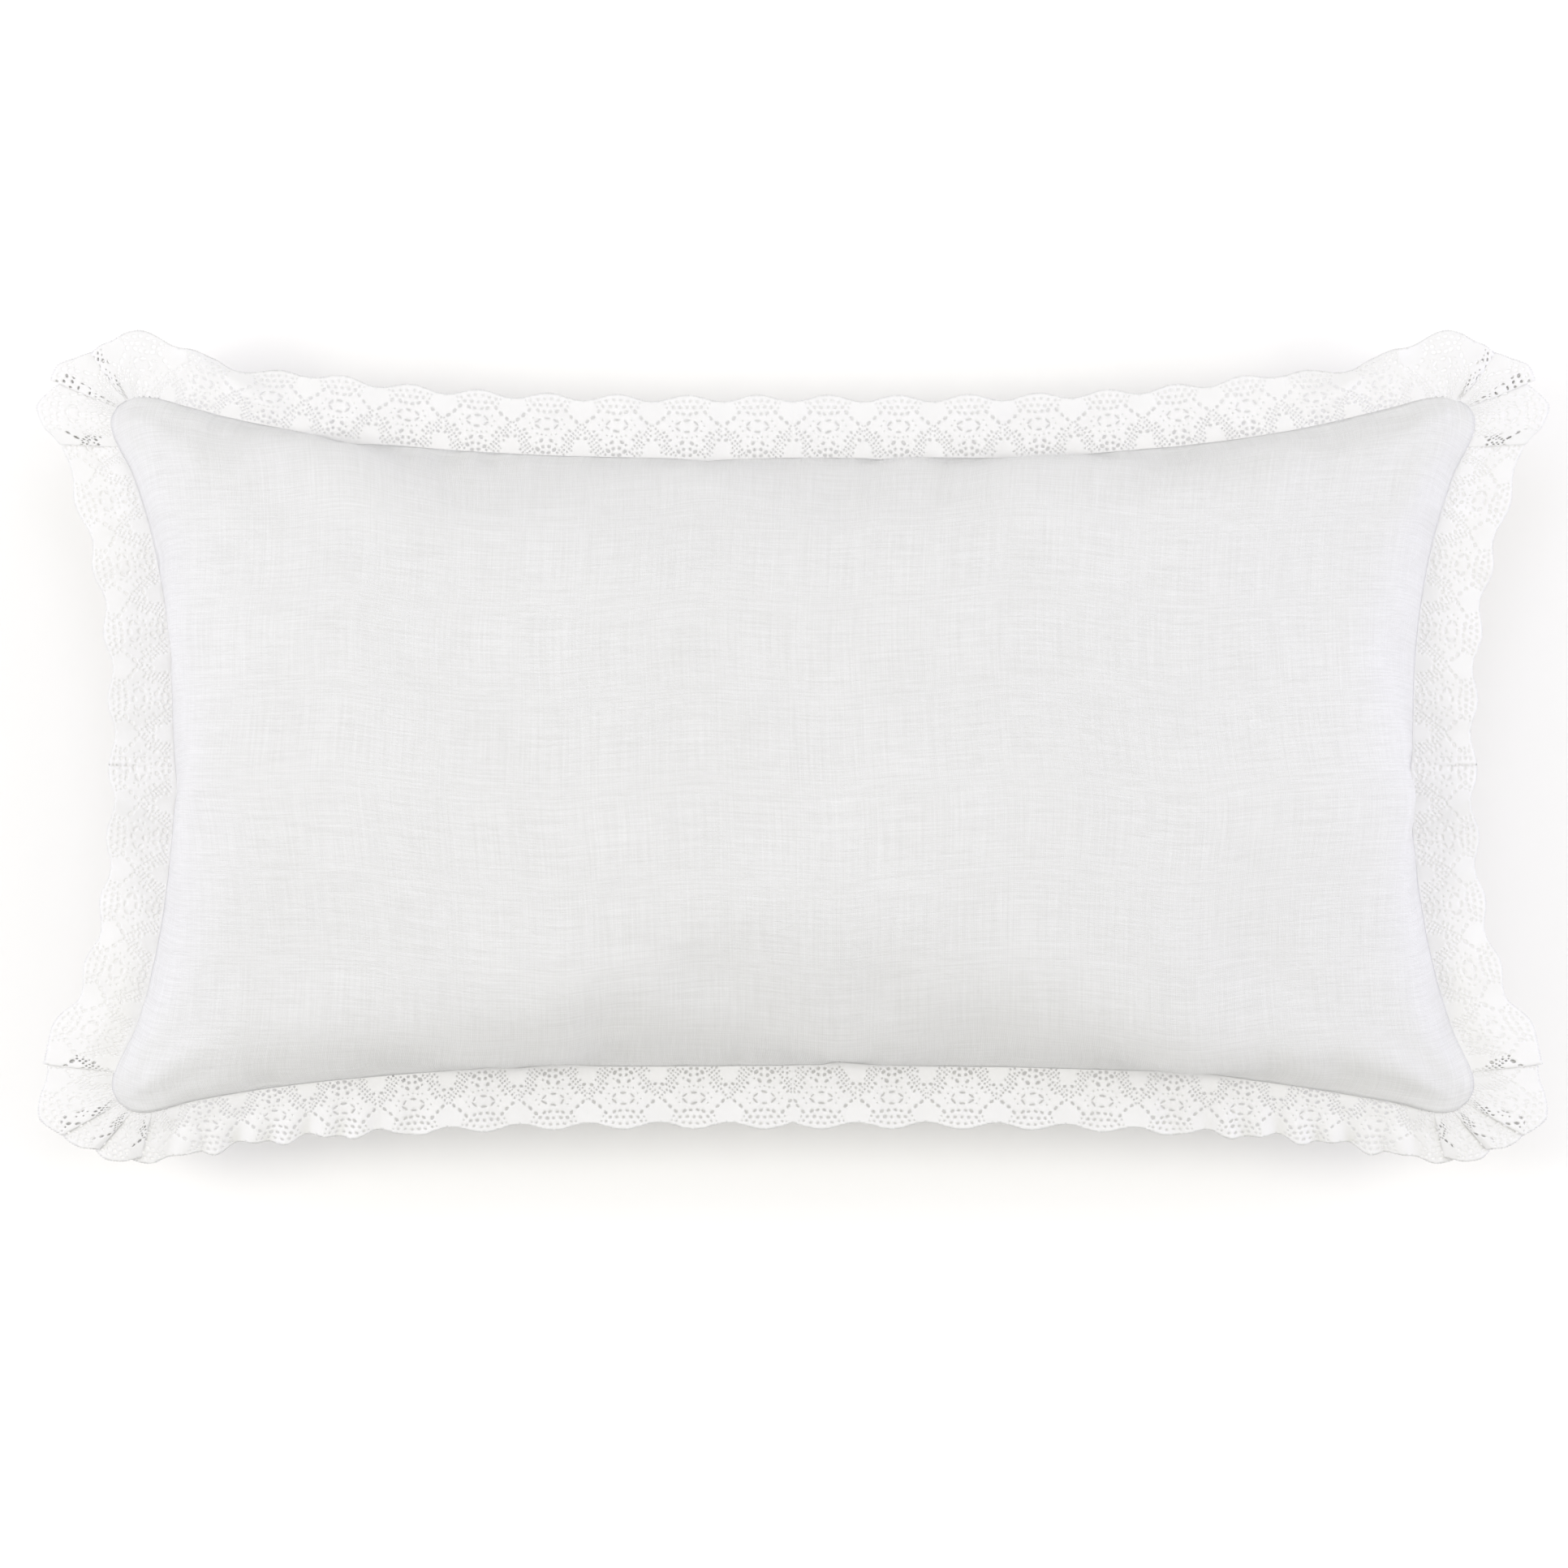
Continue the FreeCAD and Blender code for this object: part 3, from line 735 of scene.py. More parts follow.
def unit_grid(columns, rows):
    """u down the first axis and v along the second, each from 0 to 1."""
    return np.linspace(0, 1, columns)[:, None], np.linspace(0, 1, rows)[None, :]


def front_cover():
    """The face, puckered and creased along its seams."""
    u, v = unit_grid(301, 161)
    base = sampled(FACE, u, v)
    outer = base + normals(base) * relief(1, u, v)[..., None]
    obj = shell("cover_face", outer, cloth_uv(u, v), CLOTH, 1, cover_cloth)
    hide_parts("front_panel")


def slot_half(x):
    """Half the opening's width on the plan at x, rounded at its ends and closed beyond them."""
    half = SLOT_HALF * math.cos(ZIP_SLOPE)
    end = np.clip((np.abs(x) - (SLOT_END - half)) / half, 0, 1)
    return half * np.sqrt(1 - end**2) + CLOSED_HALF


ROLL = 0.0008  # radius of the cloth where it turns in at the zipper
HEM = 0.006  # cloth turned in beside the zipper
V_ZIP = 0.12  # the zipper's place on the back, from 0 at the bottom seam to 1


def back_cover():
    """The two panels of the back, each turned in along the zipper with a hem."""
    base_u = np.linspace(0, 1, 221)
    line = sampled(BACK, base_u, np.full(221, V_ZIP))[:, 0]
    # more columns where the slot's ends are round
    fine = np.concatenate([np.linspace(-0.183, -0.173, 15), np.linspace(0.173, 0.183, 15)])
    u = np.unique(np.round(np.concatenate([base_u, np.interp(fine, line, base_u)]), 5))
    x = sampled(BACK, u, v_at(u, ZIP_Y))[:, 0]
    room = smoothstep(np.minimum(u, 1 - u), 0.0, 0.04)
    roll = ROLL * np.maximum(room, 0.1)
    radius = roll[:, None]
    reach = HEM * room[:, None]
    pieces = []
    for side, name, node, rows in (
        (1, "cover_back_upper", "back_panel_upper", 92),
        (-1, "cover_back_lower", "back_panel_lower", 26),
    ):
        edge_y = ZIP_Y + side * (slot_half(x) + roll * math.cos(ZIP_SLOPE))
        start = v_at(u, edge_y)
        t = np.linspace(0, 1, rows) ** 1.15
        seam = 1.0 if side > 0 else 0.0
        v = start[:, None] + (seam - start)[:, None] * t[None, :]
        panel = back_surface(u[:, None], v)
        away = unit(panel[:, 1] - panel[:, 0])
        inward = unit(np.cross(np.gradient(panel[:, 0], axis=0), away) * side)
        centre = panel[:, 0] + inward * radius
        hem = [centre + inward * radius + away * (reach * k / 4) for k in range(4, 0, -1)]
        for k in range(7, 0, -1):
            turn = math.pi * k / 7
            hem.append(centre - inward * (radius * math.cos(turn)) - away * (radius * math.sin(turn)))
        outer = np.concatenate([np.stack(hem, axis=1), panel], axis=1)
        lead = run_along(outer[len(u) // 2, : len(hem) + 1])[:0:-1]
        v_all = np.concatenate([v[:, :1] - side * lead / CUT[1], v], axis=1)
        uv = cloth_uv(u[:, None], v_all)
        obj = shell(name, outer, uv, CLOTH, -side, cover_cloth)
        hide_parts(node)
        pieces.append(obj)
    return pieces


front_cover()
back_upper, back_lower = back_cover()


def seam_line(y, start, stop, gap):
    """Points on the underside along the plan line y."""
    u = np.linspace(0.1, 0.9, 400)
    line = back_surface(u, v_at(u, y))
    run = run_along(line)
    first, last = np.interp([start, stop], line[:, 0], run)
    at = np.arange(first, last, gap)
    return np.stack([np.interp(at, run, line[:, k]) for k in range(3)], axis=1)


STITCH = 0.0029
STITCH_RADIUS = 0.00026
TACK_X = 0.1935  # the bar tacks beyond the ends of the zipper


def stitches(name, line):
    """Raised sewing along a line of points: one short rounded bar from each point to the next."""
    line = line - INWARD * 0.0001
    points, faces, uv = [], [], []
    rings, sides = 5, 6
    for start, stop in zip(line, line[1:]):
        a, b = start + 0.1 * (stop - start), start + 0.88 * (stop - start)
        long = np.linalg.norm(b - a)
        way = (b - a) / long
        side = unit(np.cross(way, (0, 0.3, -1)))
        lift = np.cross(side, way)
        base = len(points)
        for i in range(rings):
            t = i / (rings - 1)
            fat = STITCH_RADIUS * math.sqrt(max(0.06, 1 - (2 * t - 1) ** 4))
            sink = -0.9 * STITCH_RADIUS * abs(2 * t - 1) ** 3
            for k in range(sides):
                turn = 2 * math.pi * k / sides
                out = side * fat * math.cos(turn) + lift * (fat * math.sin(turn) + sink)
                points.append(a + way * long * t + out)
                uv.append((t * long / MM + 7 * base, k))
        faces += tube_faces(rings, sides, base)
    obj = add_mesh(name, points, faces, uv, sewing_thread)
    return obj


def topstitch():
    """The rows above and below the zipper and the bar tacks at its ends."""
    made = []
    for side, word in ((1, "upper"), (-1, "lower")):
        y = ZIP_Y + side * (SLOT_HALF + 0.005) * math.cos(ZIP_SLOPE)
        made.append(stitches(f"topstitch_{word}", seam_line(y, -0.196, 0.196, STITCH)))
    steps = np.linspace(0, 1, 300)
    line_x = sampled(BACK, steps, np.full(300, V_ZIP))[:, 0]
    for side, word in ((-1, "left"), (1, "right")):
        ys = np.linspace(ZIP_Y - 0.0075, ZIP_Y + 0.0075, 7)
        u = np.full(7, np.interp(side * TACK_X, line_x, steps))
        made.append(stitches(f"bartack_{word}", back_surface(u, v_at(u, ys))))
    return made


tacks = topstitch()


# ---- the insert --------------------------------------------------------------------------------
COVER_BACK = surface_tree(back_upper, back_lower)
INSERT_GAP = 0.0013
ZIPPER_ROOM = 0.0065  # kept free inside the chain for the slider and the tapes
ROOM_ACROSS = (0.014, 0.034)  # where that room fades out, across the chain
ROOM_ENDS = (0.200, 0.250)  # and past its ends
CASING_SIZE = (0.962, 0.93, 0.968)  # shares of the cover's size
FIBRE_SIZE = (0.956, 0.922, 0.952)


def lifted(points, extra):
    """The insert's underside raised clear of the cover, the hems, the tapes and the slider."""
    flat = points.reshape(-1, 3)
    off = np.abs(flat[:, 1] - ZIP_Y)
    near = (1 - smoothstep(off, *ROOM_ACROSS)) * (1 - smoothstep(np.abs(flat[:, 0]), *ROOM_ENDS))
    for i in range(len(flat)):
        x, y, z = flat[i]
        in_slot = off[i] < 0.0048 and abs(x) < 0.19
        under = sloped(x, y) if in_slot else height_above(COVER_BACK, x, y, -1.0)
        need = under + INSERT_GAP + extra + ZIPPER_ROOM * near[i]
        if z < need:
            flat[i, 2] = min(need, SEAM_Z + 0.012)
    return points


def insert_layer(grid, side, scale, u, v):
    """One half of the insert: the cover's shape made smaller and wrinkled along its seams."""
    centre = np.array([0, -0.004, SEAM_Z])
    out = centre + (sampled(grid, u, v) - centre) * np.array(scale)
    end_u, end_v = np.minimum(u, 1 - u), np.minimum(v, 1 - v)
    wrinkle = np.sin(2 * np.pi * u * 37) * np.exp(-end_v * 18) * 0.0005
    wrinkle = wrinkle + np.sin(2 * np.pi * v * 21) * np.exp(-end_u * 30) * 0.0005
    fade = np.clip(np.minimum(end_u * 40, end_v * 25), 0, 1)
    out[..., 2] -= side * (np.abs(wrinkle) * fade)
    return out if side > 0 else lifted(out, (0.97 - scale[2]) * 0.06)


def insert():
    """The casing's two sides and the fibre between them."""
    u, v = unit_grid(131, 73)
    for grid, side, name, node in (
        (FACE, 1, "cover_insert_face", "insert_casing_front"),
        (BACK, -1, "cover_insert_back", "insert_casing_back"),
    ):
        outer = insert_layer(grid, side, CASING_SIZE, u, v)
        obj = shell(name, outer, cloth_uv(u, v), CASING, side, casing_cloth)
        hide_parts(node)
    halves = []
    for grid, side in ((FACE, 1), (BACK, -1)):
        p = insert_layer(grid, side, FIBRE_SIZE, u, v)
        lumps = 0.0
        for wave, way, phase in LUMPS:
            along = u * 660 * math.cos(way) + v * 356 * math.sin(way)
            lumps = lumps + np.sin(2 * np.pi * along / (wave * 0.35) + phase)
        fade = np.clip(np.minimum(np.minimum(u, 1 - u) * 12, np.minimum(v, 1 - v) * 8), 0, 1)
        p[..., 2] -= side * fade * (0.0004 + 0.00008 * lumps)
        halves.append(p)
    obj = closed("fibre_fill", *halves, cloth_uv(u, v), 1, fibre)
    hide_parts("insert_filling")


insert()


# ---- the zipper --------------------------------------------------------------------------------
def zip_point(x, across, depth):
    """A point of the zipper: x along it, across it and into the pillow, in metres."""
    x = np.asarray(x, float)
    lean = np.stack([x / ARC_RADIUS, 0 * x, 0 * x], axis=-1)
    place = chain_line(x) + np.asarray(across)[..., None] * ACROSS
    return place + np.asarray(depth)[..., None] * (INWARD - lean)


TAPE_END = 0.1798
TAPE_EDGES = (0.0010, 0.0104)  # from the middle of the chain
TAPE_DEPTH = 0.00212
COIL_ENDS = (-0.1718, 0.1698)
COIL_PITCH = 0.0015
COIL_ACROSS = 0.00113  # from the middle of the chain to the middle of a coil
COIL_DEPTH = 0.00112
COIL_RADII = (0.00103, 0.00054)  # across the chain and into the pillow
WIRE_RADIUS = 0.00027


def zipper_tapes():
    """The two woven tapes, with a fine ripple and a cord beside the coil."""
    for side, word in ((1, "upper"), (-1, "lower")):
        x = np.linspace(-TAPE_END, TAPE_END, 241)[:, None]
        across = np.linspace(*TAPE_EDGES, 12)[None, :]
        ripple = 0.00004 * np.sin(x * 900)
        cord = 0.00012 * np.exp(-(((across - 0.0030) / 0.0007) ** 2))
        xx, aa = np.broadcast_arrays(x, across)
        outer = zip_point(xx, side * aa, TAPE_DEPTH + ripple - cord)
        uv = np.stack([xx / MM, aa / MM], axis=-1)
        obj = shell(f"tape_{word}", outer, uv, TAPE, -side, twill)
        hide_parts(f"zipper_tape_{word}")


def zipper_coils():
    """Two round wires wound into flattened coils, half a turn apart, that meet in the middle."""
    sides, turn_steps = 6, 12
    start, stop = COIL_ENDS
    count = int((stop - start) / COIL_PITCH * turn_steps)
    t = np.arange(count + 1) / turn_steps
    x = start + COIL_PITCH * t
    turn = np.arange(sides) * 2 * np.pi / sides
    for side, word in ((1, "upper"), (-1, "lower")):
        angle = 2 * np.pi * t + (0 if side > 0 else np.pi)
        across = COIL_ACROSS + COIL_RADII[0] * np.cos(angle)
        depth = COIL_DEPTH + COIL_RADII[1] * np.sin(angle)
        path = zip_point(x, side * across, depth)
        way = unit(np.gradient(path, axis=0))
        out = path - zip_point(x, np.full_like(x, side * COIL_ACROSS), np.full_like(x, COIL_DEPTH))
        out = unit(out - (out * way).sum(axis=1)[:, None] * way)
        other = np.cross(way, out)
        ring = out[:, None] * np.cos(turn)[None, :, None] + other[:, None] * np.sin(turn)[None, :, None]
        points = (path[:, None] + WIRE_RADIUS * ring).reshape(-1, 3)
        uv = np.stack([np.repeat(t, sides) * 5, np.tile(np.arange(sides), len(path))], axis=1)
        obj = add_mesh(f"coil_{word}", points, tube_faces(len(path), sides), uv, nylon)
        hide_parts(f"zipper_coil_{word}")


zipper_tapes()
zipper_coils()
for node, material, slot in (
    ("zipper_top_stops", zip_metal, "zipper_metal"),
    ("zipper_bottom_stop", zip_metal, "zipper_metal"),
    ("zipper_slider", enamel, "slider_enamel"),
    ("zipper_slider_bridge", enamel, "slider_enamel"),
    ("zipper_pull", enamel, "slider_enamel"),
):
    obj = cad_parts[node]
    obj.data.materials.clear()
    obj.data.materials.append(material)


# ---- the label ---------------------------------------------------------------------------------
def label():
    """A blank ribbon folded in half and caught in the bottom seam, hanging behind the lace."""
    low, high = (np.array(p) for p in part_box("care_label"))
    width = high[0] - low[0]
    y, z = low[1], low[2]
    # down the back leaf from inside the seam, round the fold and up the front leaf
    path = [(y + 0.0070, 0.0632), (y + 0.0035, 0.0628), (y + 0.0012, 0.0612), (y + 0.0003, 0.0585)]
    path += [(y, height) for height in np.linspace(0.0560, z + 0.0012, 9)]
    path += [(y + 0.0002, z + 0.0004), (y + 0.0006, z), (y + 0.0010, z + 0.0004)]
    path += [(y + 0.0012, z + 0.0012)]
    path += [(y + 0.0012, height) for height in np.linspace(0.0440, 0.0560, 6)]
    path += [(y + 0.0015, 0.0585), (y + 0.0022, 0.0602), (y + 0.0040, 0.0617), (y + 0.0070, 0.0623)]
    path = spaced(path, 70)
    x = np.linspace(low[0], high[0], 25)
    grid = np.zeros((len(path), len(x), 3))
    grid[..., 0] = x
    grid[..., 1:] = path[:, None]
    hang = smoothstep(0.062 - grid[..., 2], 0, 0.024)
    u = (x - x[0])[None, :] / width
    grid[..., 1] += hang * (0.0011 * np.sin(2 * np.pi * u * 1.1 + 0.6) - 0.0012)
    grid[..., 2] += hang * 0.0006 * (2 * u - 1)
    run = run_along(path) / MM
    uv = np.stack(np.broadcast_arrays((x / MM)[None, :], run[:, None]), axis=-1)
    obj = shell("label_ribbon", grid, uv, RIBBON, 1, satin)
    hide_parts("care_label")


label()


# ---- the lace ------------------------------------------------------------------------------
# The pattern is laid out flat: s runs along the heading, w out from it, both in millimetres.
REPEAT = 33.5
LACE_WIDTH = 29.0
TUCK = 4.0  # heading caught inside the seam
PICOT = 1.3  # spacing of the small loops along the free edge
THREAD = 0.24  # least width left between two openings
FILL_STEP = 0.95  # spacing of the points between the openings
THICKNESS = 0.42
RIM_ROUND = 0.36  # added to the thickness next to an opening or an edge


def lace_edge(s):
    """The width of the lace at s: a scallop for each repeat, with its picots."""
    lobe = 27.4 - 1.55 * np.cos(2 * np.pi * s / REPEAT)
    return lobe + 0.24 * np.sin(2 * np.pi * s / PICOT)


def repeat_holes():
    """The openings of one repeat: x from the valley, y from the seam, half axes, turn in degrees."""
    half = []
    # large openings first: where two would touch, the later one is made smaller
    for i in range(3):
        half.append((8.8 - 1.5 * i, 8.0 + 1.85 * i, 0.85, 0.58, 35))
    half.append((1.75, 8.3, 0.95, 0.7, 20))
    half.append((2.6, 16.1, 1.1, 0.75, 42))
    half.append((5.4, 18.3, 1.1, 0.78, 42))
    half.append((8.1, 20.9, 1.05, 0.8, 42))
    # the net: rows of small cells slanting in to the valley
    across, along = (0.777, 0.630), (-0.630, 0.777)
    for row in range(4):
        for i in range(-1, 11):
            x = 11.5 - 1.52 * row * across[0] + 1.72 * i * along[0]
            y = 1.3 - 1.52 * row * across[1] + 1.72 * i * along[1]
            solid = abs(x) / 4.3 + abs(y - 4.3) / 3.9 < 1
            if x > 0.45 and 0.5 < y < 15.5 and not solid:
                half.append((x, y, 0.60, 0.52, 45))
    holes = half + [(-x, y, a, b, -turn) for x, y, a, b, turn in half]
    holes += [(0, 14.9, 0.5, 0.5, 0), (0, 12.6, 0.5, 0.5, 0), (0, 10.3, 0.9, 0.55, 0)]
    lobe = REPEAT / 2
    fan = []
    for side in (-1, 1):
        flower = [(3.9, 2.9, 1.15, 0.85, 35), (1.55, 1.3, 0.95, 0.72, 10), (1.5, 4.1, 0.85, 0.75, -25)]
        flower += [(2.4, 6.9, 1.15, 0.8, -40), (4.7, 5.6, 0.55, 0.5, 0)]
        fan += [(lobe + side * x, y, a, b, side * turn) for x, y, a, b, turn in flower]
        fringe = [(4.5, 20.6, 1.05, 0.72, 30), (6.6, 23.2, 0.9, 0.72, 25), (3.3, 23.2, 0.98, 0.75, 12)]
        fringe += [(8.4, 25.1, 0.7, 0.55, 25), (5.0, 25.8, 0.85, 0.6, 15), (1.7, 26.2, 0.85, 0.6, 5)]
        fringe += [(1.7, 20.2, 0.98, 0.65, 15), (9.7, 22.9, 0.5, 0.45, 30), (10.6, 25.0, 0.45, 0.4, 30)]
        fan += [(lobe + side * x, y, a, b, side * turn) for x, y, a, b, turn in fringe]
    fan.append((lobe, 23.3, 0.8, 0.7, 0))
    eye = []
    for k in range(6):
        around = math.radians(30 + 60 * k)
        x, y = 5.0 * math.cos(around), 2.5 * math.sin(around)
        turn = math.degrees(math.atan2(2.5 * math.cos(around), -5.0 * math.sin(around)))
        eye.append((lobe + x, 14.6 + y, 1.45, 0.52, turn))
    for x, y in ((2.2, 9.6), (4.6, 9.9), (6.9, 12.4), (6.9, 17.0), (0, 9.3), (8.3, 14.7)):
        for side in (-1, 1) if x else (1,):
            eye.append((lobe + side * x, y, 0.42, 0.38, 0))
    return fan + eye + holes


HOLES = repeat_holes()


def quiet_cut():
    """The place along a repeat where a straight cut meets the fewest openings."""

    def met(at):
        off = [abs((h[0] - at + REPEAT / 2) % REPEAT - REPEAT / 2) for h in HOLES]
        return sum(o < max(h[2:4]) + 0.15 for o, h in zip(off, HOLES))

    return min(np.arange(0, REPEAT, 0.1), key=met)


def lace_holes(start, stop):
    """Openings between two cuts, each a little different from the next, moved clear of the cuts."""
    placed = []
    first, last = math.floor(start / REPEAT) - 1, math.ceil(stop / REPEAT) + 1
    for k in range(first, last + 1):
        for x, y, a, b, turn in HOLES:
            s = k * REPEAT + x + rng.normal(0, 0.1)
            w = y + rng.normal(0, 0.1)
            grow = 1.12 + rng.normal(0, 0.06)
            a1, b1 = a * grow, b * grow
            need = max(a1, b1) + 0.3
            if s < start - 0.8 or s > stop + 0.8:
                continue
            s = min(max(s, start + need), stop - need)
            placed.append((s, w, a1, b1, math.radians(turn + rng.normal(0, 6))))
    return placed


def ellipse(s, w, a, b, turn, sides):
    """The corners of an opening."""
    ring = []
    cos, sin = math.cos(turn), math.sin(turn)
    for k in range(sides):
        t = 2 * math.pi * k / sides
        x, y = a * math.cos(t), b * math.sin(t)
        ring.append((s + x * cos - y * sin, w + x * sin + y * cos))
    return ring


def apart(ring, opening):
    """True when no corner of the ring comes within a thread's width of the opening."""
    s, w, a, b, turn = opening[:5]
    for x, y in ring:
        along = (x - s) * math.cos(turn) + (y - w) * math.sin(turn)
        across = (y - w) * math.cos(turn) - (x - s) * math.sin(turn)
        if (along / (a + THREAD)) ** 2 + (across / (b + THREAD)) ** 2 < 1:
            return False
    return True


def lace_border(start, stop):
    """The border between two cuts: the free edge, then the rest of the way round."""
    count = max(4, round((stop - start) / (PICOT / 4)))
    rim = [(s, lace_edge(s)) for s in np.linspace(start, stop, count + 1)]
    down = [(stop, w) for w in np.arange(lace_edge(stop) - 1.0, -TUCK + 0.5, -1.0)]
    back_count = round((stop - start) / 1.2)
    back = [(s, -TUCK) for s in np.linspace(stop, start, back_count + 1)]
    up = [(start, w) for w in np.arange(-TUCK + 1.0, lace_edge(start) - 0.5, 1.0)]
    return rim, down + back + up


def lace_openings(start, stop):
    """The openings with their rings, made smaller or left out where two would touch."""
    kept = []
    for s, w, a, b, turn in lace_holes(start, stop):
        near = [o for o in kept if abs(s - o[0]) < 3.2 and abs(w - o[1]) < 3.2]
        for shrink in (1.0, 0.87, 0.76, 0.66):
            trial = (s, w, a * shrink, b * shrink, turn)
            ring = ellipse(*trial, 8 if a < 0.6 else 10)
            if all(apart(ring, o) and apart(o[5], trial) for o in near):
                kept.append((*trial, ring))
                break
    return kept


def lace_filling(start, stop, openings, to_edge):
    """Loose points that fill the cloth between the openings, so that it can bend."""
    along = np.arange(start + FILL_STEP, stop, FILL_STEP)
    out = np.arange(-TUCK + 1.1, LACE_WIDTH, FILL_STEP * 0.87)
    gs, gw = np.meshgrid(along, out)
    gs = gs + (np.arange(gs.shape[0]) % 2)[:, None] * FILL_STEP / 2
    free = np.stack([gs.ravel(), gw.ravel()], axis=1) + rng.normal(0, 0.05, (gs.size, 2))
    clear = (free[:, 0] > start + 0.5) & (free[:, 0] < stop - 0.5)
    free = free[clear & (free[:, 1] < lace_edge(free[:, 0]) - 0.55)]
    free = free[to_edge(free) > 0.42]
    inside = np.zeros(len(free), bool)
    for s, w, a, b, *_ in openings:
        inside |= np.hypot(free[:, 0] - s, free[:, 1] - w) < max(a, b) * 0.9
    return free[~inside]


def lace_flat(start, stop):
    """The openwork between two cuts as a flat mesh, with the loops round its openings and edge."""
    rim, rest = lace_border(start, stop)
    openings = lace_openings(start, stop)
    points, loops, segments = [], [], []
    for ring in [(rim + rest)[::-1]] + [o[5] for o in openings]:
        ids = list(range(len(points), len(points) + len(ring)))
        points += ring
        loops.append(ids)
        segments += zip(ids, ids[1:] + ids[:1])
    # the cuts are not real edges: the thread carries on across them
    edge = np.array(rim[1:-1] + points[len(rim) + len(rest) :])
    tree = KDTree(len(edge))
    for i, p in enumerate(edge):
        tree.insert((*p, 0), i)
    tree.balance()

    def to_edge(places):
        return np.array([tree.find((*p, 0))[2] for p in places])

    free = lace_filling(start, stop, openings, to_edge)
    everything = [Vector(p) for p in points] + [Vector(p) for p in free]
    verts, _, faces, *_ = delaunay_2d_cdt(everything, segments, [], 0, 1e-5, False)
    flat = np.array([tuple(v) for v in verts])
    assert len(flat) == len(everything), "the openings touch each other"
    tris = np.array(faces)
    mid = flat[tris].mean(axis=1)
    keep = (mid[:, 1] < np.interp(mid[:, 0], *np.array(rim).T)) & (mid[:, 1] > -TUCK)
    # a triangle with all its corners on one opening lies inside that opening
    owned = np.full(len(flat), -1)
    for number, ids in enumerate(loops[1:]):
        owned[ids] = number
    a, b, c = owned[tris].T
    keep &= ~((a >= 0) & (a == b) & (b == c))
    tris = tris[keep]
    x, y = flat[tris][..., 0], flat[tris][..., 1]
    area = (x[:, 1] - x[:, 0]) * (y[:, 2] - y[:, 0]) - (x[:, 2] - x[:, 0]) * (y[:, 1] - y[:, 0])
    tris[area < 0] = tris[area < 0][:, ::-1]
    return flat, tris, loops, to_edge(flat), np.abs(area).sum() / 2


# Where the lace lies: heading point, direction out of the heading, plan reach, height of the layer,
# one row for every change of course round a corner. The lace zigzags where it is pleated.
TOP_CENTRE = np.array([-311.5, 154.0])  # the round of the seam at the top corner
TOP_RADIUS = 12.2
# The pleats at the top corner: place on the round in degrees or point, angle, reach, layer.
TOP_PLEATS = [
    ((-292, 163.4), 76, 29, 3.2),
    (84, 88, 32.5, 3.4),
    (95, 100, 33.5, 3.4),
    (106, 117, 32, 3.3),
    (112, 132, 27.5, 2.6),
    (112, 131, 27, 1.6),
    (106, 118, 28, 1.4),
    (120, 130, 33, 1.3),
    (131, 146, 36, 1.2),
    ((-320.7, 161.7), 158, 34.5, 0.7),
    ((-320.7, 161.7), 157, 34, -0.3),
    (134, 146, 31, -0.5),
    (150, 160, 34, -0.7),
    (166, 171, 36.5, -0.9),
    ((-322.3, 149.5), 176, 35.5, -1.2),
    ((-319.8, 143), 177.5, 31.5, -1.6),
    ((-319.8, 143), 176.5, 30, -2.6),
    ((-320.8, 147), 168, 29, -2.8),
    ((-317.8, 139), 174, 30, -2.8),
    ((-314.6, 132), 183, 31, -2.6),
]
LOW_PLEATS = [
    ((-316, -138), 164, 35, 2.6),
    ((-319.8, -147), 170, 38.5, 2.6),
    ((-321.6, -153.6), 174, 37.5, 2.1),
    ((-321.6, -153.6), 173, 36, 1.1),
    ((-320.5, -150), 164, 34, 0.9),
    ((-321.6, -155), 174, 35, 0.8),
    ((-322.3, -159), 185, 37.5, 0.7),
    ((-321.2, -164), 198, 38.5, 0.5),
    ((-318.5, -167.6), 210, 36, 0.1),
    ((-318.5, -167.6), 209, 35, -0.9),
    ((-320.2, -165.6), 198, 31, -1.1),
    ((-318.2, -168.0), 210, 32.5, -1.2),
    ((-315.5, -170.2), 220, 31.5, -1.3),
    ((-313, -171.6), 229, 28, -1.5),
    ((-313, -171.6), 228, 27, -2.5),
    ((-315, -170.6), 218, 26, -2.7),
    ((-310.5, -172.0), 233, 28.5, -2.7),
    ((-307, -172.4), 246, 28, -2.9),
    ((-304, -172), 256, 25.5, -3.0),
    ((-304, -172), 255, 25, -4.0),
    ((-306.5, -172.3), 244, 25, -4.2),
    ((-300, -171.2), 262, 27, -4.1),
    ((-292, -168.6), 276, 26.5, -3.6),
]
# How far the lace reaches on the plan at each x along the top and the bottom.
TOP_REACH = ([-330, -300, -285, -272, -255, -235, 0], [29.5, 28, 25.5, 24.2, 26, 29.5, 30.5])
LOW_REACH = ([-292, -261, -237, -180, 0], [26.5, 26.5, 27.5, 29.8, 30.5])


def along_seam(line, start, stop, step=2.0):
    """Rows for a stretch where the lace stands straight out from the seam."""
    smooth = spaced(line, 400)
    tangent = np.gradient(smooth, axis=0)
    run = run_along(smooth)
    rows = []
    for at in np.arange(start, stop, step):
        p = [np.interp(at, run, smooth[:, k]) for k in (0, 1)]
        t = [np.interp(at, run, tangent[:, k]) for k in (0, 1)]
        rows.append((p[0], p[1], math.degrees(math.atan2(-t[0], t[1])) % 360))
    return rows


def pleats(table):
    """The rows of a pleated corner, with a place in degrees turned into its point."""
    rows = []
    for place, angle, reach, layer in table:
        if not isinstance(place, tuple):
            t = math.radians(place)
            place = TOP_CENTRE + TOP_RADIUS * np.array([math.cos(t), math.sin(t)])
        rows.append((*place, angle, reach, layer, 1.0))
    return rows


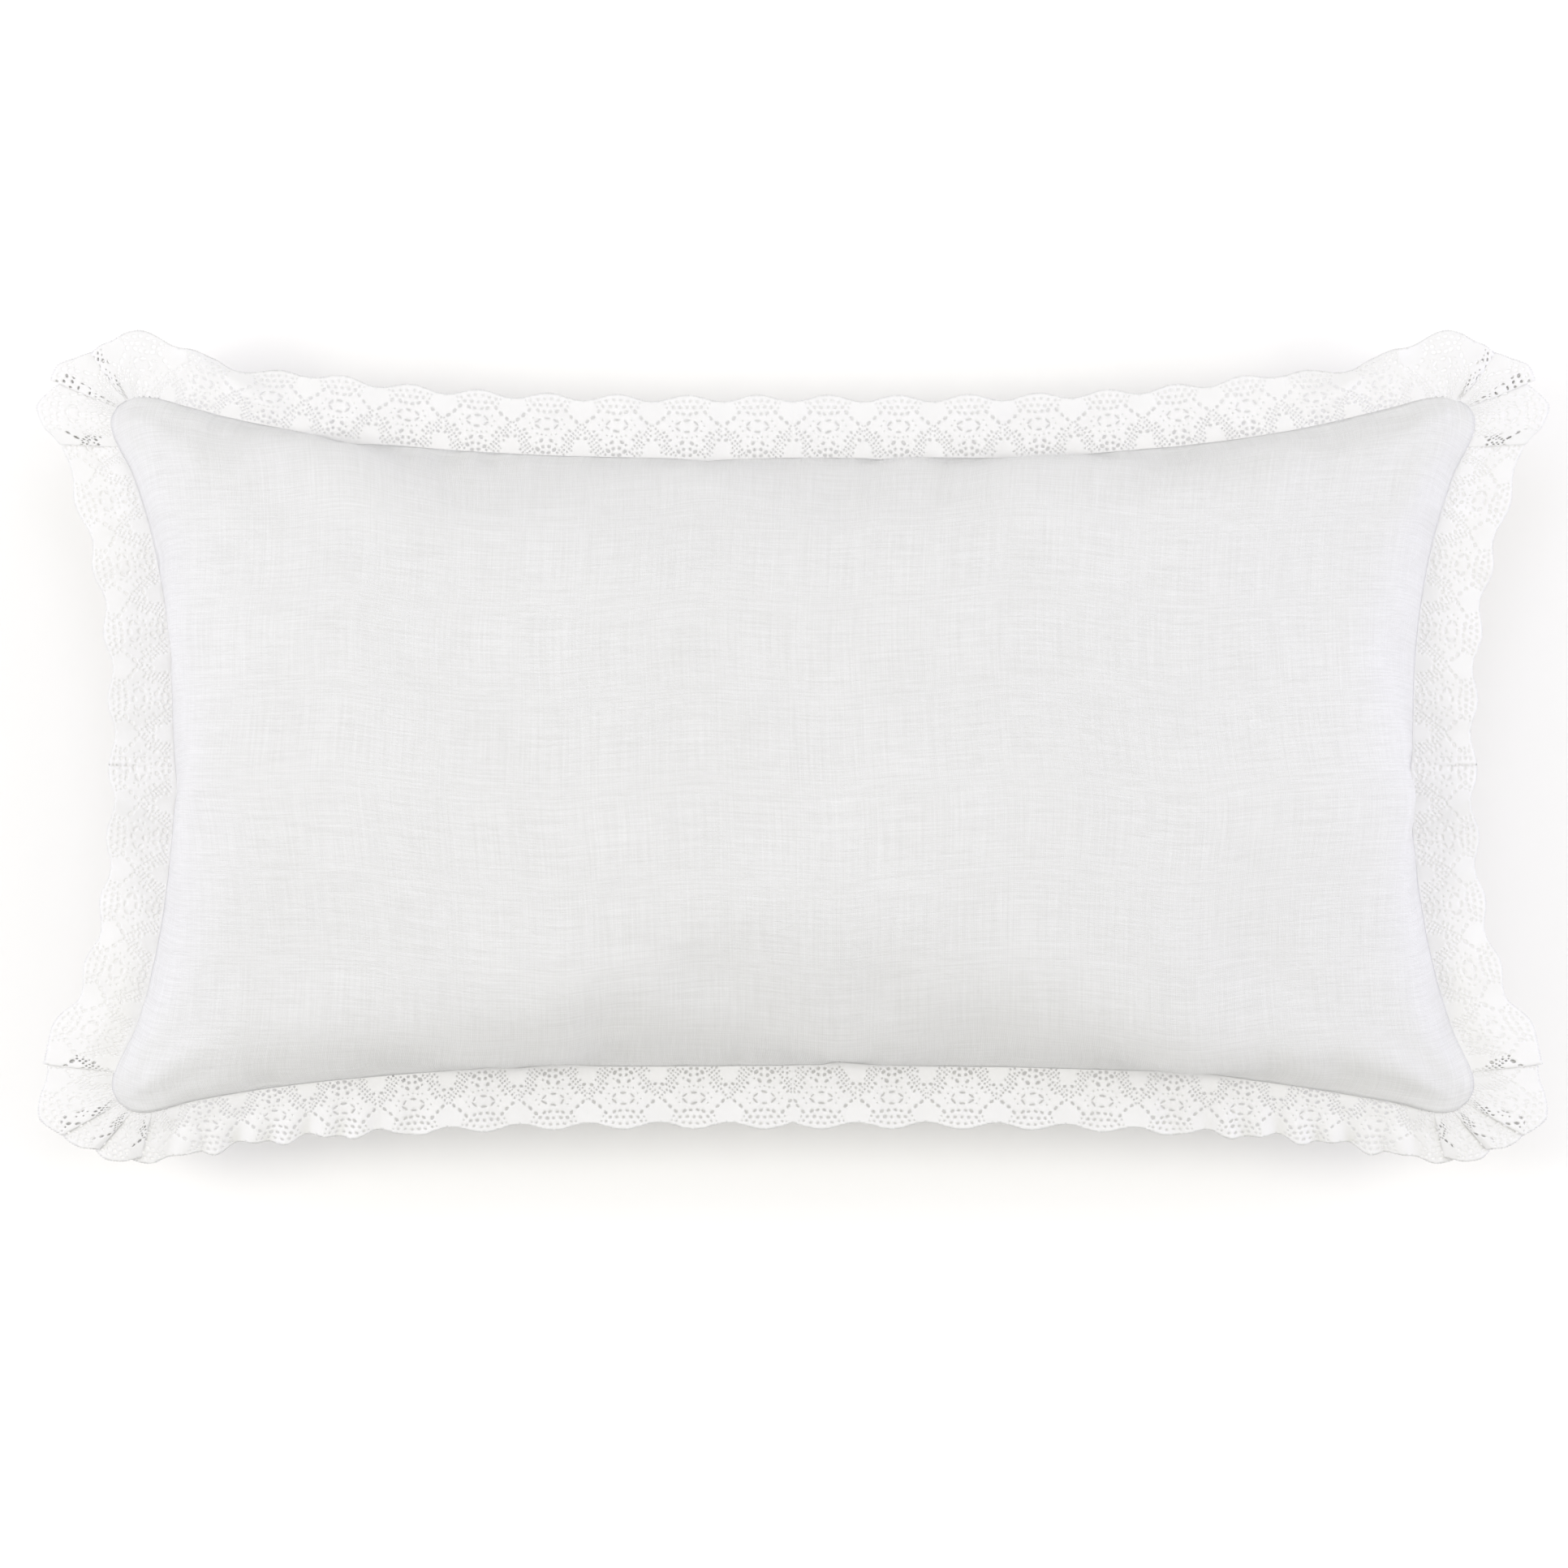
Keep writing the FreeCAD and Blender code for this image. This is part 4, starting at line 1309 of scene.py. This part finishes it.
def lace_course():
    """All rows as an array: x, y, angle, reach, layer, pleated."""
    rows = []
    for x, y, angle in along_seam(top_half, 0, 287):
        layer = 3.0 * smoothstep(-x, 225, 280)
        rows.append((x, y, angle, np.interp(x, *TOP_REACH), layer, 0.0))
    rows += pleats(TOP_PLEATS)
    start = [i for i, p in enumerate(left_side) if p[1] > 122][-1]
    side = left_side[start:]
    for x, y, angle in along_seam(side, 6, run_along(side)[-1] - 42):
        turn = angle if y < 100 else angle - 8 * smoothstep(y, 100, 122)
        layer = -2.4 * smoothstep(y, 80, 120) + 2.4 * smoothstep(-y, 90, 130)
        rows.append((x, y, turn, 31 + 1.5 * smoothstep(-y, 90, 130), layer, 0.0))
    rows += pleats(LOW_PLEATS)
    low = low_half[[i for i, p in enumerate(low_half) if p[0] > -289]]
    for x, y, angle in along_seam(low, 2, run_along(low)[-1] + 0.01):
        layer = -3.4 * smoothstep(-x, 170, 285)
        rows.append((x, y, angle, np.interp(x, *LOW_REACH), layer, 0.0))
    rows.append((*low_half[-1], 270, 30, 0.0, 0.0))
    return np.array(rows)


def lace_tables():
    """The course resampled every quarter millimetre of lace, with the folds rounded off."""
    rows = lace_course()
    angle = np.radians(rows[:, 2])
    outer = rows[:, :2] + 0.92 * rows[:, 3:4] * np.stack([np.cos(angle), np.sin(angle)], axis=1)
    run_in = np.linalg.norm(np.diff(rows[:, :2], axis=0), axis=1)
    run_out = np.linalg.norm(np.diff(outer, axis=0), axis=1)
    pleated = np.minimum(rows[1:, 5], 1)
    step = np.maximum(run_in, np.where(pleated > 0, run_out, np.minimum(run_out, run_in * 1.25)))
    step = np.maximum(step, 1.5 * pleated)
    s = np.concatenate([[0], np.cumsum(step)])
    fine = np.arange(0, s[-1] + 0.25, 0.25)
    table = np.stack([np.interp(fine, s, rows[:, k]) for k in range(6)], axis=1)
    for width in (11, 7):
        pad = width // 2
        padded = np.pad(table, ((pad, pad), (0, 0)), mode="reflect", reflect_type="odd")
        even = np.ones(width) / width
        table = np.stack([np.convolve(column, even, "valid") for column in padded.T], axis=1)
    return fine, table


LACE_S, LACE_TABLE = lace_tables()
LACE_LENGTH = float(LACE_S[-1])
RIDGE = np.array([[-233.7, 155.0], [-283.7, 185.8]])


def lace_place(s, w):
    """Where the point s, w of the flat lace lies, in millimetres."""
    x, y, angle, reach, layer, pleat = (np.interp(s, LACE_S, LACE_TABLE[:, k]) for k in range(6))
    angle = np.radians(angle)
    q = np.clip(w / LACE_WIDTH, 0, 1.05)
    out = w * reach / LACE_WIDTH
    px, py = x + np.cos(angle) * out, y + np.sin(angle) * out
    slack = np.sqrt(np.maximum(LACE_WIDTH**2 - np.minimum(reach, LACE_WIDTH) ** 2, 0))
    z = layer * (0.15 + 0.85 * smoothstep(q, 0.0, 0.45)) - (3.0 + 0.3 * slack) * q**2
    wave = 1.3 * np.sin(2 * np.pi * s / 71 + 0.6) + 0.9 * np.sin(2 * np.pi * s / 43 + 2.0)
    z = z + wave * q**1.5 * (1 - np.clip(pleat, 0, 1))
    # left over fullness next to the bottom corner stands in slanting ripples
    loose = smoothstep(-x, 150, 235) * (1 - smoothstep(-x, 288, 304)) * (s > LACE_LENGTH / 2)
    roll = np.sin(2 * np.pi * (s + 0.35 * w) / 17.5)
    z = z + 1.9 * loose * roll * q
    py = py - 1.1 * loose * roll * q**2
    z = z + 0.5 * np.sin(2 * np.pi * s / 19 + 1.0) * q * (1 - q) * 4 * (1 - np.clip(pleat, 0, 1))
    # the top strip buckles into a ridge before the first pleat
    a, b = RIDGE
    long = np.linalg.norm(b - a)
    way = (b - a) / long
    off = (px - a[0]) * way[1] - (py - a[1]) * way[0]
    on = ((px - a[0]) * way[0] + (py - a[1]) * way[1]) / long
    ridge = np.exp(-((off / 5.5) ** 2)) * smoothstep(on, 0.05, 0.55) * (1 - smoothstep(on, 1.0, 1.35))
    z = z + 4.5 * ridge * (s < LACE_LENGTH / 2)
    return np.stack([px, py, z + SEAM_Z / MM], axis=-1)


def inset(ring, start, stop, outer):
    """The line inside the thickness of an edge where its two faces meet, just off the loop."""
    if not outer:
        return ring + unit(ring.mean(axis=0) - ring) * 0.13
    along = np.roll(ring, -1, axis=0) - np.roll(ring, 1, axis=0)
    push = unit(np.stack([along[:, 1], -along[:, 0]], axis=1))
    inner = (ring[:, 0] > start + 0.01) & (ring[:, 0] < stop - 0.01)
    return ring - 0.12 * push * inner[:, None]


def lace_piece(name, start, stop, side):
    """One mesh of the lace, as thick as its threads and rounded at every edge."""
    flat, tris, loops, distance, area = lace_flat(start, stop)
    s, w = flat[:, 0], flat[:, 1]
    middle = lace_place(s, w)
    h = 0.05
    ds = lace_place(s + h, w) - lace_place(s - h, w)
    dw = lace_place(s, w + h) - lace_place(s, w - h)
    normal = unit(np.cross(dw, ds))
    thick = THICKNESS + RIM_ROUND * np.exp(-((distance / 0.75) ** 2))
    thick = np.where(distance < 0.01, THICKNESS, thick)[:, None]
    count = len(flat)
    points = [middle + normal * thick / 2, middle - normal * thick / 2]
    faces = [tuple(t) for t in tris[:, ::-1]] + [tuple(t + count) for t in tris]
    uv = [flat, flat]
    base = 2 * count
    for number, ids in enumerate(loops):
        inner = inset(flat[ids], start, stop, number == 0)
        points.append(lace_place(inner[:, 0], inner[:, 1]))
        uv.append(inner)
        mid = list(range(base, base + len(ids)))
        base += len(ids)
        for a, b, m, n in zip(ids, ids[1:] + ids[:1], mid, mid[1:] + mid[:1]):
            faces.append((a, b, n, m))
            faces.append((m, n, b + count, a + count))
    points = np.concatenate(points) * MM
    uv = np.concatenate(uv)
    if side > 0:
        points[:, 0] *= -1
        faces = [f[::-1] for f in faces]
    obj = add_mesh(name, points, faces, uv, lace_cloth)
    bm = bmesh.new()
    bm.from_mesh(obj.data)
    bmesh.ops.recalc_face_normals(bm, faces=bm.faces)
    bm.to_mesh(obj.data)
    bm.free()
    # at the cuts the surface carries on into the next piece, so it is shaded as if it had no end
    shading = np.zeros(len(points) * 3)
    obj.data.vertex_normals.foreach_get("vector", shading)
    shading = shading.reshape(-1, 3)
    facing = normal.copy()
    if side > 0:
        facing[:, 0] *= -1
    at_cut = np.nonzero((np.abs(s - start) < 1e-4) | (np.abs(s - stop) < 1e-4))[0]
    at_cut = at_cut[(w[at_cut] > -TUCK + 0.01) & (w[at_cut] < lace_edge(s[at_cut]) - 0.01)]
    for sign, first in ((1, 0), (-1, count)):
        match = np.sign((shading[first + at_cut] * facing[at_cut]).sum(axis=1))
        shading[first + at_cut] = facing[at_cut] * np.where(match == 0, sign, match)[:, None]
    obj.data.normals_split_custom_set_from_vertices([tuple(n) for n in shading])
    return obj, area


def lace_all():
    """The eight lengths of the strip: four down the left, and their mirror with other openings."""
    offset = quiet_cut()
    cuts = [0.0]
    for k in range(1, 4):
        cuts.append(round((LACE_LENGTH * k / 4 - offset) / REPEAT) * REPEAT + offset)
    cuts.append(LACE_LENGTH)
    pieces = []
    for side, word in ((-1, "left"), (1, "right")):
        for k in range(4):
            obj, area = lace_piece(f"lace_{word}_{k + 1}", cuts[k], cuts[k + 1], side)
            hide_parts("lace_trim")
            pieces.append((obj, area, cuts[k + 1] - cuts[k]))
    return pieces


lace_pieces = lace_all()


# ---- stage ---------------------------------------------------------------------------------
AIM = Vector((0, 0, 0.06))
COOL, PALE, WARM = (0.80, 0.82, 1.0), (0.73, 0.72, 1.0), (1.0, 0.985, 0.93)
# name, place, size, power and tint of each square light
LIGHTS = [
    ("key_top", (0, 1.7, 2.2), 1.0, 6.5, COOL),
    ("low_left", (-2.4, 0.1, 0.75), 1.4, 15.5, PALE),
    ("high_left", (-1.9, 0.1, 1.9), 0.8, 18.5, WARM),
    ("low_right", (2.4, 0.1, 0.75), 1.4, 18.5, PALE),
    ("high_right", (1.9, 0.1, 1.9), 0.8, 14, WARM),
]
HALF_VIEW = 0.3719  # half the width of the picture, at the height of the seam
VIEW_MIDDLE = (-0.0042, -0.01675)


def studio():
    """White paper, a bright world, soft lights and a long lens from straight above."""
    corners = [(-4, -4, 0), (4, -4, 0), (4, 4, 0), (-4, 4, 0)]
    floor = add_mesh("floor", corners, [(0, 1, 2, 3)], smooth=False, body=None)
    floor.data.materials.append(Shader("floor_paper").finish((0.95, 0.944, 0.925, 1), 0.9))
    world = bpy.data.worlds.new("studio")
    world.use_nodes = True
    background = world.node_tree.nodes["Background"]
    background.inputs[0].default_value = (1, 0.998, 0.97, 1)
    background.inputs[1].default_value = 0.72
    scene.world = world
    for name, place, size, power, tint in LIGHTS:
        light = bpy.data.lights.new(name, "AREA")
        light.shape = "SQUARE"
        light.size = size
        light.energy = power
        light.color = tint
        obj = bpy.data.objects.new(name, light)
        obj.location = place
        obj.rotation_euler = (AIM - Vector(place)).to_track_quat("-Z", "Y").to_euler()
        scene.collection.objects.link(obj)
    camera = bpy.data.cameras.new("camera")
    camera.lens = 200
    camera.sensor_width = 36
    camera.clip_end = 50
    distance = HALF_VIEW / (camera.sensor_width / 2 / camera.lens)
    obj = bpy.data.objects.new("camera", camera)
    obj.location = (*VIEW_MIDDLE, SEAM_Z + distance)
    scene.collection.objects.link(obj)
    scene.camera = obj


studio()
scene.view_settings.view_transform = "Standard"
